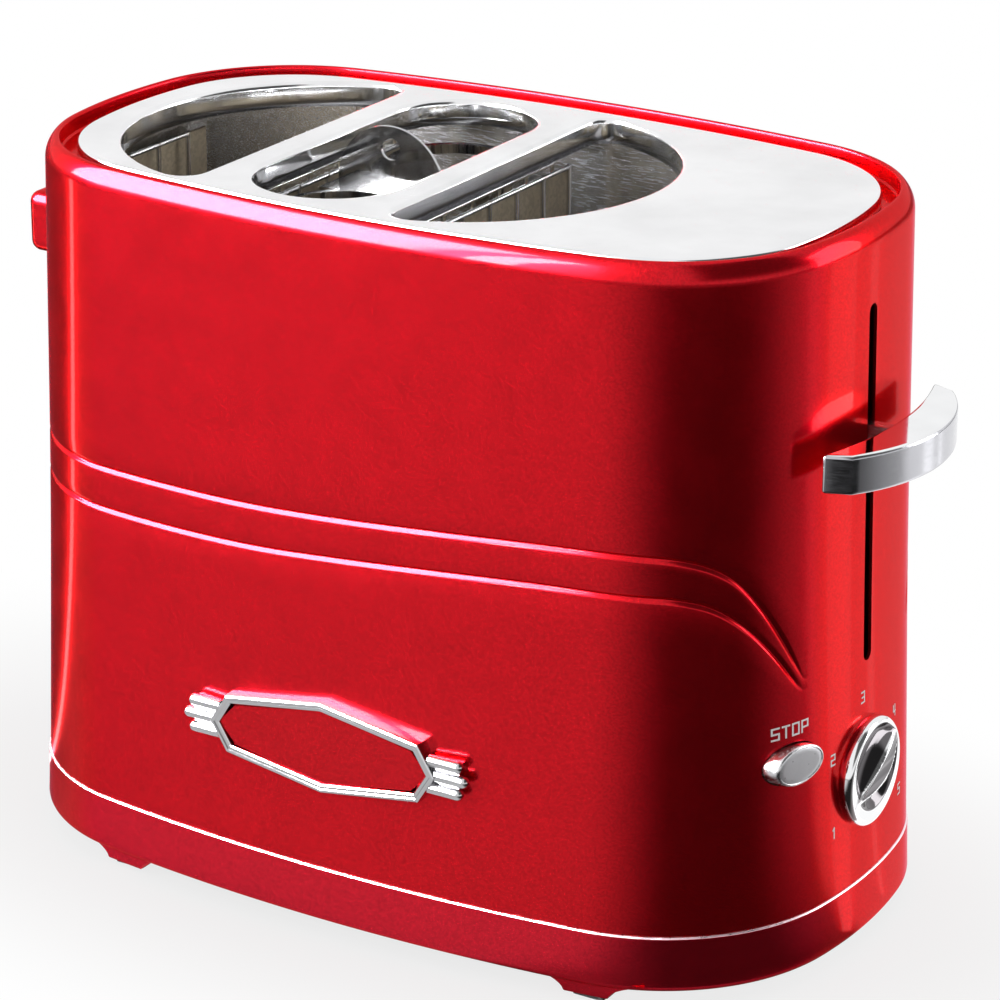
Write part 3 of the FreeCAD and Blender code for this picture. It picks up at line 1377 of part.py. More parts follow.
def badge():
    """Long eight-sided frame with three bars each side, and the enamel plate inside it."""
    half, tall, end = s.badge_half_length, s.badge_waist_half_height, s.badge_end_half_height
    point = s.badge_point_length
    front = -badge_y + s.badge_height

    def outline(made, inset, tag):
        tip_x, shoulder_x = half - inset, half - inset - point
        shoulder, peak = end - inset, tall - inset
        polygon(made, [
            (-tip_x, s.badge_z), (-shoulder_x, s.badge_z + shoulder),
            (0.0, s.badge_z + peak), (shoulder_x, s.badge_z + shoulder),
            (tip_x, s.badge_z), (shoulder_x, s.badge_z - shoulder),
            (0.0, s.badge_z - peak), (-shoulder_x, s.badge_z - shoulder),
        ], tag)

    frame = body("bezel")
    plan = sketch(frame, "bezel_plan", "XZ_Plane", front)
    outline(plan, 0.0, "a")
    outline(plan, s.badge_frame, "b")
    pad(frame, plan, s.badge_depth, reverse=True)
    plate = body("enamel")
    field = sketch(plate, "enamel_plan", "XZ_Plane", front - s.badge_field_depth)
    outline(field, s.badge_frame, "a")
    pad(plate, field, s.badge_depth, reverse=True)
    clearing = body("enamel_space")
    space = sketch(clearing, "enamel_space_plan", "XZ_Plane", front + s.overshoot)
    outline(space, s.badge_frame, "a")
    pad(clearing, space, s.badge_depth + s.overshoot * 2, reverse=True)

    bars = []
    bar_start = half - point / 2
    bar_y = -front + s.badge_bar_radius + s.badge_bar_drop
    for side in (-1, 1):
        for number in (-1, 0, 1):
            z = s.badge_z + number * s.badge_bar_pitch
            length = point / 2 + s.badge_bar_reach - abs(number) * s.badge_bar_radius
            x = bar_start if side > 0 else -bar_start - length
            bars.append(rod("badge_bar", "x", (x, bar_y, z), s.badge_bar_radius, length))
    back_end = half + s.badge_bar_reach - s.badge_bar_radius * 1.5
    back_half = s.badge_bar_pitch + s.badge_bar_radius / 2
    for low, high in ((bar_start, back_end), (-back_end, -bar_start)):
        bars.append(box("bar_back", (low, high), (bar_y, bar_y + s.badge_depth),
                        (s.badge_z - back_half, s.badge_z + back_half)))

    skin = skin_block("badge_skin", s.seam_z, s.waist_z)
    pins = [
        rod("badge_pin", "y", (side * s.badge_pin_x, badge_y - s.badge_pin_radius, s.badge_z),
            s.badge_pin_radius, s.badge_pin_length)
        for side in (-1, 1)
    ]
    keep("badge_panel", fuse("badge_panel", cut("badge_panel", plate, skin), *pins))
    keep("badge_bezel", cut("badge_bezel", fuse("bezel_all", frame, *bars), skin, clearing))
    nuts = []
    surface_y = side_surface_y(s.badge_pin_x + s.push_nut_radius, s.badge_z + s.push_nut_radius)
    for side in (-1, 1):
        place = (side * s.badge_pin_x, s.shell_wall - surface_y, s.badge_z)
        nut = rod("push_nut", "y", place, s.push_nut_radius, s.push_nut_sheet)
        bore = rod("push_nut_bore", "y", place, s.badge_pin_radius, s.push_nut_sheet)
        nuts.append(cut("nut", nut, bore))
    keep("badge_push_nuts", group("badge_push_nuts", nuts))


def skin_block(label, low, high):
    """The outside of the body as a solid, to shape what lies on it."""
    made = body(label)
    loft(made, "AdditiveLoft", [
        oval_sketch(made, label + "_low", low, spread_at(low)),
        oval_sketch(made, label + "_high", high, spread_at(high)),
    ])
    return made


def side_surface_y(x, z):
    """Where the long side of the body stands at a place along it, worked out on the side arc."""
    radius = float(s.side_radius + spread_at(z))
    return float(s.body_half_depth - s.side_radius) + math.sqrt(radius ** 2 - float(x) ** 2)


def side_grip():
    """Rounded lug on the left end, screwed on from inside."""
    made = body("grip")
    low, high = s.grip_z - s.grip_half_height, s.grip_z + s.grip_half_height
    plan = sketch(made, "grip_plan", offset=low)
    inner_x = -s.end_panel_x
    polygon(plan, [
        (inner_x, -s.grip_half_width), (inner_x, s.grip_half_width),
        (-s.grip_reach, s.grip_half_width), (-s.grip_reach, -s.grip_half_width),
    ])
    block = pad(made, plan, high - low)
    doc.recompute()
    outer = [
        "Edge%d" % number for number, edge in enumerate(block.Shape.Edges, start=1)
        if edge.BoundBox.XMin < -float(s.grip_reach) + 0.01
    ]
    fillet(made, block, outer, s.grip_round)
    skin = skin_block("grip_skin", s.waist_z, s.rim_z)
    hole_x = -outline_x(s.grip_z) - s.grip_screw_depth
    tip_x = hole_x + s.loose_gap
    holes = [
        rod("grip_screw_hole", "x", (hole_x, side * s.grip_screw_y, s.grip_z), s.screw_radius,
            s.grip_screw_depth * 2)
        for side in (-1, 1)
    ]
    keep("side_grip", cut("side_grip", made, skin, *holes))
    surface_x = end_surface_x(s.grip_screw_y + s.screw_head_radius, s.grip_z + s.screw_head_radius)
    head_x = s.shell_wall - surface_x
    screws = [
        screw("grip_screw_%d" % number, "x", (head_x, side * s.grip_screw_y, s.grip_z),
              (tip_x, side * s.grip_screw_y, s.grip_z), head_x - tip_x)
        for number, side in enumerate((-1, 1), start=1)
    ]
    keep("side_grip_screws", group("side_grip_screws", screws))


def cord_entry():
    """Gland in the skirt where the mains cord comes in, and the block it is clamped to."""
    face_x = -outline_x(s.gland_z - s.gland_flange_radius) - s.skirt_step
    start_x = face_x - s.gland_flange_thickness
    flange = rod("gland_flange", "x", (start_x, 0.0, s.gland_z), s.gland_flange_radius,
                 s.gland_flange_thickness)
    tube = rod("gland_tube", "x", (start_x, 0.0, s.gland_z), s.gland_radius, s.gland_length)
    bore = rod("gland_bore", "x", (start_x - s.overshoot, 0.0, s.gland_z), s.gland_bore_radius,
               s.gland_length + s.overshoot * 2)
    keep("cord_gland", cut("cord_gland", fuse("gland_all", flange, tube), bore))
    left_x = -s.end_panel_x + s.gland_length
    keep("terminal_block", box("terminal", (left_x, left_x + s.terminal_length),
                               (-s.terminal_half_width, s.terminal_half_width),
                               (pan_top, pan_top + s.terminal_height)))


def crumb_tray():
    """Tray under the chambers that slides out of the rear of the skirt."""
    floor = pan_top + s.loose_gap
    reach = s.body_half_depth * 2
    left, right = -s.tray_left_x, s.tray_right_x
    wall = s.tray_wall
    block = box("tray_block", (left, right), (-s.tray_front_y, reach), (floor, floor + s.tray_wall_height))
    hollow = box("tray_hollow", (left + wall, right - wall), (-s.tray_front_y + wall, reach),
                 (floor + wall, floor + s.tray_wall_height + s.overshoot))
    grow = spread_at(s.tray_face_top) + s.skirt_step
    low, high = floor - s.overshoot, s.tray_face_top + s.overshoot
    limit = oval_block("tray_limit", low, high, grow)
    trough = common("tray_trough", cut("tray_open", block, hollow), limit)
    ring = oval_block("tray_face_ring", low, high, grow, grow - s.tray_face_thickness)
    face_box = box("tray_face_box", (left, right), (s.tray_front_y / 2, reach), (floor, s.tray_face_top))
    face = common("tray_face", ring, face_box)
    front_y = outline_y(s.tray_face_top)
    grip_top = s.tray_face_top - s.tray_grip_height / 2
    grip = box("tray_pull", cook_span(-s.tray_grip_width / 2, s.tray_grip_width / 2),
               (front_y - s.tray_face_thickness / 2, front_y + s.tray_pull_rise),
               (grip_top - s.tray_pull_thickness, grip_top))
    keep("crumb_tray", fuse("crumb_tray", trough, face, grip))


# ---------------------------------------------------------------- assembly

outer_shell()
base_skirt()
foot_pads()
base_pan()
base_screws()
top_plate()
chassis_floor()
reflector_wall("front_reflector", -1)
reflector_wall("rear_reflector", 1)
panels()
heater_boards()
heater_windings()
wire_guards()
carriage_bracket()
carriage_arms()
racks()
armature_plate()
lever()
guide_rods()
rod_bridge()
carriage_spring()
latch_magnet()
hot_dog_cage()
dial_knob()
dial_parts()
stop_parts()
control_board()
badge()
side_grip()
cord_entry()
crumb_tray()

doc.recompute()
for thing in doc.Objects:
    if "Invalid" in thing.State or "Error" in thing.State:
        raise RuntimeError("%s (%s) did not build: %s" % (thing.Name, thing.Label, thing.State))
os.makedirs("parts", exist_ok=True)
for name, thing in PARTS.items():
    if thing.Shape.isNull() or not thing.Shape.isValid():
        raise RuntimeError("%s has no valid shape" % name)
    thing.Shape.exportStep(os.path.join("parts", name + ".step"))
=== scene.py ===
"""Dressed model of the hot dog toaster: finishes, detailed pieces, floor, lamps and camera."""
import math

import bmesh
import bpy
from mathutils import Matrix, Vector


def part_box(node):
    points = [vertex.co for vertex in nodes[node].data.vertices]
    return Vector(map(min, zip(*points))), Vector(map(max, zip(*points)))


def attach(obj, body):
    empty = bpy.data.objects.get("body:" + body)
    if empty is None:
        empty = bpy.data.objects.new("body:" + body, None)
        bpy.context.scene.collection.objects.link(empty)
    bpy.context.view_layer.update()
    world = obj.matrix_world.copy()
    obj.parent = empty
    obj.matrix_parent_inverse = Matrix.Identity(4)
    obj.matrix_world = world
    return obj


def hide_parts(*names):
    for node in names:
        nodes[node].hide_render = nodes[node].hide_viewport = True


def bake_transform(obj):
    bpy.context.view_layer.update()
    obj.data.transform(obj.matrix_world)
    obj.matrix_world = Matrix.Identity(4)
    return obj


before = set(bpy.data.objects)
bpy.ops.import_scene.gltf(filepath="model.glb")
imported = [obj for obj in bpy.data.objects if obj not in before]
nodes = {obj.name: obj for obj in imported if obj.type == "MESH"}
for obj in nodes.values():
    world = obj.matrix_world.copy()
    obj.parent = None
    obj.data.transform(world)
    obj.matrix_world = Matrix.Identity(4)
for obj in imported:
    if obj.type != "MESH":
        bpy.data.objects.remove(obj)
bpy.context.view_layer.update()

collection = bpy.context.scene.collection

# Lengths below are in millimetres and are brought to metres when a mesh is made.
MM = 0.001

# Arcs of the body's plan at its waist: round ends, corners and long sides, with their centres
END_RADIUS, END_X = 163.7, -26.0
CORNER_RADIUS, CORNER_X, CORNER_Y = 58.7, 77.716, 16.371
SIDE_RADIUS, SIDE_Y = 617.7, 537.2
# Directions where an end arc meets a corner and a corner meets a long side
END_TURN, SIDE_TURN = 8.970, 82.008

# Controls on the lever end
DIAL_Z = 57.5
STOP_Y, STOP_Z = -38.0, 72.9


# ---------------------------------------------------------------- meshes

def build(name, points, faces, material, sharp=30.0):
    """Object with smooth faces, and sharp edges where two faces meet at more than an angle."""
    mesh = bpy.data.meshes.new(name)
    mesh.from_pydata([[c * MM for c in p] for p in points], [], faces)
    mesh.materials.append(material)
    return place(name, mesh, sharp)


def place(name, mesh, sharp=30.0):
    """Object for a finished mesh, shaded smooth up to an angle."""
    mesh.polygons.foreach_set("use_smooth", [True] * len(mesh.polygons))
    mesh.set_sharp_from_angle(angle=math.radians(sharp))
    mesh.validate()
    piece = bpy.data.objects.new(name, mesh)
    collection.objects.link(piece)
    return piece


def from_bmesh(name, bm, material, sharp=30.0):
    """Object made of a bmesh in metres, with its faces turned outward."""
    bmesh.ops.recalc_face_normals(bm, faces=bm.faces)
    mesh = bpy.data.meshes.new(name)
    bm.to_mesh(mesh)
    bm.free()
    mesh.materials.append(material)
    return place(name, mesh, sharp)


def bevel(piece, width, segments, angle):
    """Rounds the edges of a piece that are sharper than an angle."""
    modifier = piece.modifiers.new("round", "BEVEL")
    modifier.width = width * MM
    modifier.segments = segments
    modifier.limit_method = "ANGLE"
    modifier.angle_limit = math.radians(angle)


def cut_out(piece, cutters):
    """Cuts closed pieces out of a piece's mesh and removes them."""
    for cutter in cutters:
        modifier = piece.modifiers.new("cut", "BOOLEAN")
        modifier.operation = "DIFFERENCE"
        modifier.solver = "EXACT"
        modifier.object = cutter
    mesh = bpy.data.meshes.new_from_object(piece.evaluated_get(bpy.context.evaluated_depsgraph_get()))
    piece.modifiers.clear()
    piece.data = mesh
    for cutter in cutters:
        bpy.data.objects.remove(cutter)


def vertices(bm, points):
    """New vertices of a bmesh at points in millimetres."""
    return [bm.verts.new([c * MM for c in p]) for p in points]


def ring_faces(bm, loops):
    """Skins rings of the same count, each with the next."""
    for low, high in zip(loops, loops[1:]):
        for i in range(len(low)):
            j = (i + 1) % len(low)
            bm.faces.new((low[i], low[j], high[j], high[i]))


def oval(x, y, half_x, half_y, count):
    """Points of an oval or a circle round a place."""
    turns = [math.tau * i / count for i in range(count)]
    return [(x + half_x * math.cos(t), y + half_y * math.sin(t)) for t in turns]


def prism(name, outline, low, high, axis, material, sharp=30.0):
    """Closed bar with a flat outline, from low to high along an axis."""
    def spot(a, b, level):
        return {"x": (level, a, b), "y": (a, level, b), "z": (a, b, level)}[axis]

    bm = bmesh.new()
    ends = [vertices(bm, [spot(a, b, level) for a, b in outline]) for level in (low, high)]
    ring_faces(bm, ends)
    bm.faces.new(ends[0])
    bm.faces.new(ends[1])
    return from_bmesh(name, bm, material, sharp)


# A closed outline in plan is a list of stations: the centre of an arc, its radius, the direction
# of the outline's normal and the distance along the outline. Moving it outward by an amount
# lengthens every radius.

def arcs_outline(arcs, step):
    """Stations along arcs (centre x, centre y, radius, from, to), in degrees."""
    stations, run = [], 0.0
    for cx, cy, radius, start, end in arcs:
        length = radius * math.radians(end - start)
        count = max(3, math.ceil(length / step))
        for i in range(count + (0 if joined(arcs, cx, cy, radius, end) else 1)):
            turn = math.radians(start + (end - start) * i / count)
            stations.append((cx, cy, radius, turn, run + length * i / count))
        run += length
    return stations


def joined(arcs, cx, cy, radius, end):
    """Whether another arc starts where this one ends."""
    x = cx + radius * math.cos(math.radians(end))
    y = cy + radius * math.sin(math.radians(end))
    for ox, oy, other, start, _ in arcs:
        turn = math.radians(start)
        if math.hypot(ox + other * math.cos(turn) - x, oy + other * math.sin(turn) - y) < 0.01:
            return True
    return False


def at(station, grow):
    """Point of a station on the outline moved outward."""
    cx, cy, radius, turn = station[:4]
    return cx + (radius + grow) * math.cos(turn), cy + (radius + grow) * math.sin(turn)


def sweep(stations, rows):
    """Points and faces of a closed skin through rows, each giving (outward, height) at a station."""
    points, faces, count = [], [], len(stations)
    for row in rows:
        for station in stations:
            grow, z = row(station) if callable(row) else row
            points.append((*at(station, grow), z))
    for r in range(len(rows)):
        low, high = r * count, (r + 1) % len(rows) * count
        for i in range(count):
            j = (i + 1) % count
            faces.append((low + i, low + j, high + j, high + i))
    return points, faces


def arc_rows(grow, z, radius, start, end, count):
    """Rows round a small arc in the section of a sweep, angles from outward towards up."""
    turns = [math.radians(start + (end - start) * i / count) for i in range(count + 1)]
    return [(grow + radius * math.cos(t), z + radius * math.sin(t)) for t in turns]


def ease(value):
    """A value from 0 to 1 with a gentle start and end."""
    value = min(1.0, max(0.0, value))
    return value * value * (3 - 2 * value)


# ---------------------------------------------------------------- finishes

class Finish:
    """A material with procedural detail in place: its shader and short ways to add nodes."""

    def __init__(self, name, colour, metallic=0.0, roughness=0.3, **sockets):
        self.material = bpy.data.materials.new(name)
        self.material.use_nodes = True
        self.tree = self.material.node_tree
        self.shader = self.tree.nodes["Principled BSDF"]
        self.colour = colour
        self.set("Base Color", (*colour, 1.0))
        self.set("Metallic", metallic)
        self.set("Roughness", roughness)
        for socket, value in sockets.items():
            self.set(socket.replace("_", " "), value)
        self.place = self.tree.nodes.new("ShaderNodeTexCoord").outputs["Object"]
        self.normal = None

    def set(self, socket, value):
        self.shader.inputs[socket].default_value = value

    def node(self, kind, settings=(), **inputs):
        made = self.tree.nodes.new("ShaderNode" + kind)
        for key, value in settings:
            setattr(made, key, value)
        for key, value in inputs.items():
            socket = made.inputs[key.replace("_", " ")]
            if hasattr(value, "is_output"):
                self.tree.links.new(value, socket)
            else:
                socket.default_value = value
        return made

    def link(self, output, socket):
        self.tree.links.new(output, self.shader.inputs[socket])

    def stretched(self, x, y, z):
        """The place with its axes scaled apart, for streaks."""
        return self.node("Mapping", Vector=self.place, Scale=(x, y, z)).outputs["Vector"]

    def noise(self, scale, detail=3.0, vector=None):
        made = self.node("TexNoise", Vector=vector or self.place, Scale=scale, Detail=detail)
        return made.outputs["Fac"]

    def flake(self, scale, channel="Red"):
        """A value of its own for each small cell."""
        cells = self.node("TexVoronoi", Vector=self.place, Scale=scale)
        return self.node("SeparateColor", Color=cells.outputs["Color"]).outputs[channel]

    def spread(self, value, low, high):
        """A value from 0 to 1 brought to another range."""
        inputs = {"Value": value, "From_Min": 0.3, "From_Max": 0.7, "To_Min": low, "To_Max": high}
        return self.node("MapRange", **inputs).outputs["Result"]

    def vary(self, value, darker, lighter):
        """The base colour made darker and lighter with a value."""
        ramp = self.node("ValToRGB", Fac=value)
        low, high = ramp.color_ramp.elements
        low.position, high.position = 0.3, 0.7
        low.color = (*[c * darker for c in self.colour], 1.0)
        high.color = (*[min(1.0, c * lighter) for c in self.colour], 1.0)
        self.link(ramp.outputs["Color"], "Base Color")

    def mix(self, share, first, second):
        """Puts a mix of two shaders on the surface."""
        mixed = self.node("MixShader")
        for source, socket in zip((share, first, second), mixed.inputs):
            self.tree.links.new(source, socket)
        self.tree.links.new(mixed.outputs[0], self.tree.nodes["Material Output"].inputs["Surface"])

    def bump(self, value, height, strength=1.0, socket="Normal"):
        """Relief of a height in millimetres."""
        made = self.node("Bump", Height=value, Distance=height * MM, Strength=strength)
        if socket == "Normal":
            if self.normal is not None:
                self.tree.links.new(self.normal, made.inputs["Normal"])
            self.normal = made.outputs["Normal"]
        self.link(made.outputs["Normal"], socket)


def lacquer(name, colour):
    """Candy red: fine metal flake under a thin clear coat."""
    made = Finish(name, colour, metallic=0.85, roughness=0.22, Specular_IOR_Level=0.1,
                  Coat_Weight=0.17, Coat_Roughness=0.02, Coat_IOR=1.5)
    made.set("Specular Tint", (0.95, 0.03, 0.17, 1.0))
    flake = made.flake(2600.0)
    made.vary(flake, 0.9, 1.1)
    made.link(made.spread(made.noise(90.0), 0.2, 0.24), "Roughness")
    facing = made.node("LayerWeight", Blend=0.5).outputs["Facing"]
    coat = made.node("MapRange", Value=facing, From_Min=0.55, From_Max=0.95, To_Min=0.17, To_Max=0.03)
    made.link(coat.outputs["Result"], "Coat Weight")
    made.bump(flake, 0.012, 0.08)
    made.bump(made.noise(95.0, 2.0), 0.02, 0.06, "Coat Normal")
    return made.material


def mirror(name, colour, roughness, streak=None):
    """Plated or polished metal with faint polishing marks."""
    made = Finish(name, colour, metallic=1.0, roughness=roughness)
    vector = made.stretched(*streak) if streak else None
    marks = made.noise(1.0 if streak else 420.0, 4.0, vector)
    made.link(made.spread(marks, roughness * 0.7, roughness * 1.5), "Roughness")
    made.vary(made.noise(38.0), 0.93, 1.05)
    made.bump(made.noise(26.0, 2.0), 0.03, 0.1)
    made.bump(marks, 0.006, 0.12)
    return made.material


def sheet_metal(name, colour, roughness, spangle=600.0, **sockets):
    """Rolled or plated sheet: cloudy tone, fine scratches."""
    made = Finish(name, colour, metallic=1.0, roughness=roughness, **sockets)
    made.vary(made.flake(spangle), 0.94, 1.04)
    scratch = made.noise(1.0, 3.0, made.stretched(240.0, 2600.0, 2600.0))
    made.link(made.spread(scratch, roughness * 0.8, roughness * 1.25), "Roughness")
    made.bump(scratch, 0.004, 0.12)
    return made.material


def moulded(name, colour, roughness, grain=900.0, **sockets):
    """Moulded plastic, rubber or board with a fine skin."""
    made = Finish(name, colour, roughness=roughness, **sockets)
    made.vary(made.noise(55.0), 0.9, 1.1)
    skin = made.noise(grain, 4.0)
    made.link(made.spread(skin, roughness * 0.85, min(1.0, roughness * 1.2)), "Roughness")
    made.bump(skin, 0.02, 0.25)
    return made.material


RED = (0.6, 0.006, 0.014)
lacquer_red = lacquer("red_lacquer", RED)
skirt_red = lacquer("skirt_lacquer", (0.62, 0.012, 0.03))
deck_steel = mirror("deck_steel", (0.84, 0.84, 0.85), 0.11, (60.0, 900.0, 60.0))
chrome = mirror("chrome", (0.86, 0.865, 0.875), 0.055)
brushed_chrome = mirror("brushed_chrome", (0.52, 0.52, 0.55), 0.16, (300.0, 300.0, 1800.0))
badge_chrome = mirror("badge_chrome", (0.6, 0.6, 0.615), 0.09)
# Pale pink metal for the skirt's seam shoulder: a painted highlight.
painted_seam_highlight = mirror("painted_seam_highlight", (0.92, 0.72, 0.78), 0.3)
satin_chrome = mirror("satin_chrome", (0.78, 0.78, 0.8), 0.22)
satin = moulded("satin_silver", (0.5, 0.5, 0.52), 0.32, metallic=0.6)
enamel = lacquer("badge_enamel", (0.6, 0.008, 0.016))
rubber = moulded("black_rubber", (0.035, 0.034, 0.034), 0.75, 1400.0)
aluminium = sheet_metal("bright_aluminium", (0.78, 0.78, 0.8), 0.24)
zinc = sheet_metal("zinc_sheet", (0.6, 0.6, 0.62), 0.38, 420.0)
steel = sheet_metal("bright_steel", (0.68, 0.68, 0.7), 0.22, 500.0)
wire = mirror("chrome_wire", (0.74, 0.74, 0.76), 0.12)
iron = sheet_metal("plain_iron", (0.3, 0.3, 0.31), 0.5, 700.0)
ribbon = sheet_metal("heating_ribbon", (0.4, 0.34, 0.3), 0.45, 900.0)
copper = sheet_metal("copper_winding", (0.72, 0.32, 0.16), 0.3, 800.0)
board = moulded("green_board", (0.03, 0.16, 0.05), 0.35, 500.0, Coat_Weight=0.4)
black = moulded("black_plastic", (0.03, 0.03, 0.03), 0.42)
white = moulded("white_plastic", (0.8, 0.79, 0.74), 0.4)
ink = moulded("white_ink", (0.86, 0.84, 0.84), 0.45)


def mica_board():
    """Mica paper: silvery brown flakes with dark specks."""
    made = Finish("mica", (0.55, 0.47, 0.34), metallic=0.25, roughness=0.4)
    flake = made.flake(900.0, "Green")
    made.vary(flake, 0.9, 1.06)
    made.link(made.spread(made.noise(300.0), 0.32, 0.46), "Roughness")
    made.bump(flake, 0.02, 0.2)
    return made.material


mica = mica_board()


def tray_finish():
    """Bare aluminium pan whose outer plate, which follows the body's long side, is lacquered like it."""
    made = Finish("tray_sheet", (0.78, 0.78, 0.8), metallic=1.0, roughness=0.24)
    scratch = made.noise(1.0, 3.0, made.stretched(240.0, 2600.0, 2600.0))
    made.link(made.spread(scratch, 0.19, 0.3), "Roughness")
    made.bump(scratch, 0.004, 0.12)
    lacquered = made.node("BsdfPrincipled", Base_Color=(*RED, 1.0), Metallic=0.85, Roughness=0.22,
                          Coat_Weight=0.12)
    centred = (0.0, SIDE_Y * MM, 0.0)
    flat = made.node("Mapping", Vector=made.place, Location=centred, Scale=(1.0, 1.0, 0.0))
    outward = made.node("VectorMath", [("operation", "LENGTH")], Vector=flat.outputs["Vector"])
    plate = made.node("MapRange", Value=outward.outputs["Value"], From_Min=0.6208, From_Max=0.6212)
    made.mix(plate.outputs["Result"], made.shader.outputs[0], lacquered.outputs[0])
    return made.material


def dress(finish, *names):
    """Gives a finish to solids that are shown as they are."""
    for name in names:
        nodes[name].data.materials.clear()
        nodes[name].data.materials.append(finish)


dress(enamel, "badge_panel")
dress(rubber, "cord_gland", *["foot_pad_%s_%s" % (end, side)
                              for end in ("front", "rear") for side in ("left", "right")])
dress(tray_finish(), "crumb_tray")
dress(aluminium, "front_reflector", "rear_reflector", "left_end_panel")
dress(zinc, "base_pan", "chassis_floor", "bay_panel", "rod_bridge", "carriage_bracket",
      "hot_dog_platform", "carriage_arm_front", "carriage_arm_rear")
dress(mirror("cage_steel", (0.6, 0.6, 0.61), 0.1), "hot_dog_cage")
dress(steel, "guide_rod_front", "guide_rod_rear", "lever_stem", "base_screws", "side_grip_screws",
      "badge_push_nuts", "bun_rack_left", "bun_rack_right")
dress(wire, "dog_guard_left", "dog_guard_right")
for heater in ("left_inner", "left_outer", "right_inner", "right_outer"):
    dress(wire, "bun_guard_" + heater)
    dress(mica, "heater_board_" + heater)
    dress(ribbon, "heater_winding_" + heater)
dress(iron, "latch_magnet_core", "armature_plate")
dress(copper, "latch_magnet_coil")
dress(board, "control_board")
dress(black, "board_parts", "browning_pot", "cancel_switch")
dress(white, "terminal_block", "dial_shaft")


# ---------------------------------------------------------------- body outline

SEAM_Z = 23.4
RIM_TOP, RIM_INSET = 227.5, 3.9
RIM_TURN, RIM_ROUND, RIM_BREAK = 9.0, 1.78, 45.0
RIM_RISE = math.sin(math.radians(RIM_BREAK))
RIM_Z = RIM_TOP - RIM_TURN * RIM_RISE - RIM_ROUND * (1 - RIM_RISE)
STEP = 2.2  # between the stations of an outline

body_arcs = [
    (END_X, 0.0, END_RADIUS, -END_TURN, END_TURN),
    (CORNER_X, CORNER_Y, CORNER_RADIUS, END_TURN, SIDE_TURN),
    (0.0, -SIDE_Y, SIDE_RADIUS, SIDE_TURN, 180 - SIDE_TURN),
    (-CORNER_X, CORNER_Y, CORNER_RADIUS, 180 - SIDE_TURN, 180 - END_TURN),
    (-END_X, 0.0, END_RADIUS, 180 - END_TURN, 180 + END_TURN),
    (-CORNER_X, -CORNER_Y, CORNER_RADIUS, 180 + END_TURN, 180 + SIDE_TURN),
    (0.0, SIDE_Y, SIDE_RADIUS, 180 + SIDE_TURN, 360 - SIDE_TURN),
    (CORNER_X, -CORNER_Y, CORNER_RADIUS, 360 - SIDE_TURN, 360 - END_TURN),
]
body_outline = arcs_outline(body_arcs, STEP)
HALF_END = END_RADIUS * math.radians(END_TURN)
PERIMETER = sum(radius * math.radians(end - start) for _, _, radius, start, end in body_arcs)


def taper(z):
    """How far the wall stands outside the waist outline at a height."""
    low, high, waist, soft = 4.0 / 111.0, 2.2 / 111.0, 116.5, 30.0
    below = waist - z
    if below > soft:
        return low * below
    if below < -soft:
        return high * below
    return high * below + (low - high) * (below + soft) ** 2 / (4 * soft)


def from_end(station):
    """Distance along the waist from the middle of the lever end."""
    run = abs(station[4] - HALF_END)
    return min(run, PERIMETER - run)


def smooth_curve(table, x):
    """Smooth curve through points, level outside them, and its slope."""
    if x <= table[0][0]:
        return table[0][1], 0.0
    if x >= table[-1][0]:
        return table[-1][1], 0.0
    chords = [(b[1] - a[1]) / (b[0] - a[0]) for a, b in zip(table, table[1:])]
    slopes = [chords[0], *[(p + q) / 2 for p, q in zip(chords, chords[1:])], 0.0]
    k = next(i for i in range(len(chords)) if x <= table[i + 1][0])
    (x0, y0), (x1, y1) = table[k], table[k + 1]
    span, t = x1 - x0, (x - x0) / (x1 - x0)
    m0, m1 = slopes[k] * span, slopes[k + 1] * span
    value = ((2 * t ** 3 - 3 * t ** 2 + 1) * y0 + (t ** 3 - 2 * t ** 2 + t) * m0
             + (3 * t ** 2 - 2 * t ** 3) * y1 + (t ** 3 - t ** 2) * m1)
    rate = ((6 * t * t - 6 * t) * (y0 - y1) + (3 * t * t - 4 * t + 1) * m0
            + (3 * t * t - 2 * t) * m1) / span
    return value, rate


# Heights of the two pressed grooves by the distance from the middle of the lever end
upper_groove = [(33.7, 97.9), (42.2, 112.9), (50.2, 124.6), (56.8, 132.1), (63.8, 136.8),
                (73.3, 139.9), (88.9, 141.1), (115.5, 140.6), (149.5, 138.7), (182.6, 136.4),
                (214.7, 134.4), (257.7, 133.2), (300.0, 132.8), (373.2, 132.8)]
lower_groove = [(34.7, 95.1), (43.7, 106.9), (53.2, 117.2), (63.3, 124.6), (72.8, 127.8),
                (88.9, 128.8), (115.5, 128.5), (149.5, 126.5), (182.6, 123.9), (214.7, 121.4),
                (257.7, 120.0), (300.0, 119.8), (373.2, 119.8)]
GROOVE_HALF = 1.5
groove_section = [(-GROOVE_HALF, 0.0), (-1.0, -0.12), (-0.55, -0.45), (-0.2, -0.8), (0.0, -0.85),
                  (0.2, -0.8), (0.55, -0.45), (1.0, -0.12), (GROOVE_HALF, 0.0)]
GROOVE_START, GROOVE_FADE = 34.2, 12.0
BAND_LOW, BAND_HIGH = 84.0, 156.0


def band_rows():
    """Rows of the wall between two heights, led along the two grooves."""
    kinds = [("low", i / 4) for i in range(4)]
    kinds += [("lower", k) for k in range(len(groove_section))]
    kinds += [("middle", i / 4) for i in range(1, 4)]
    kinds += [("upper", k) for k in range(len(groove_section))]
    kinds += [("high", i / 4) for i in range(1, 5)]
    return [lambda station, kind=kind: band_point(station, *kind) for kind in kinds]


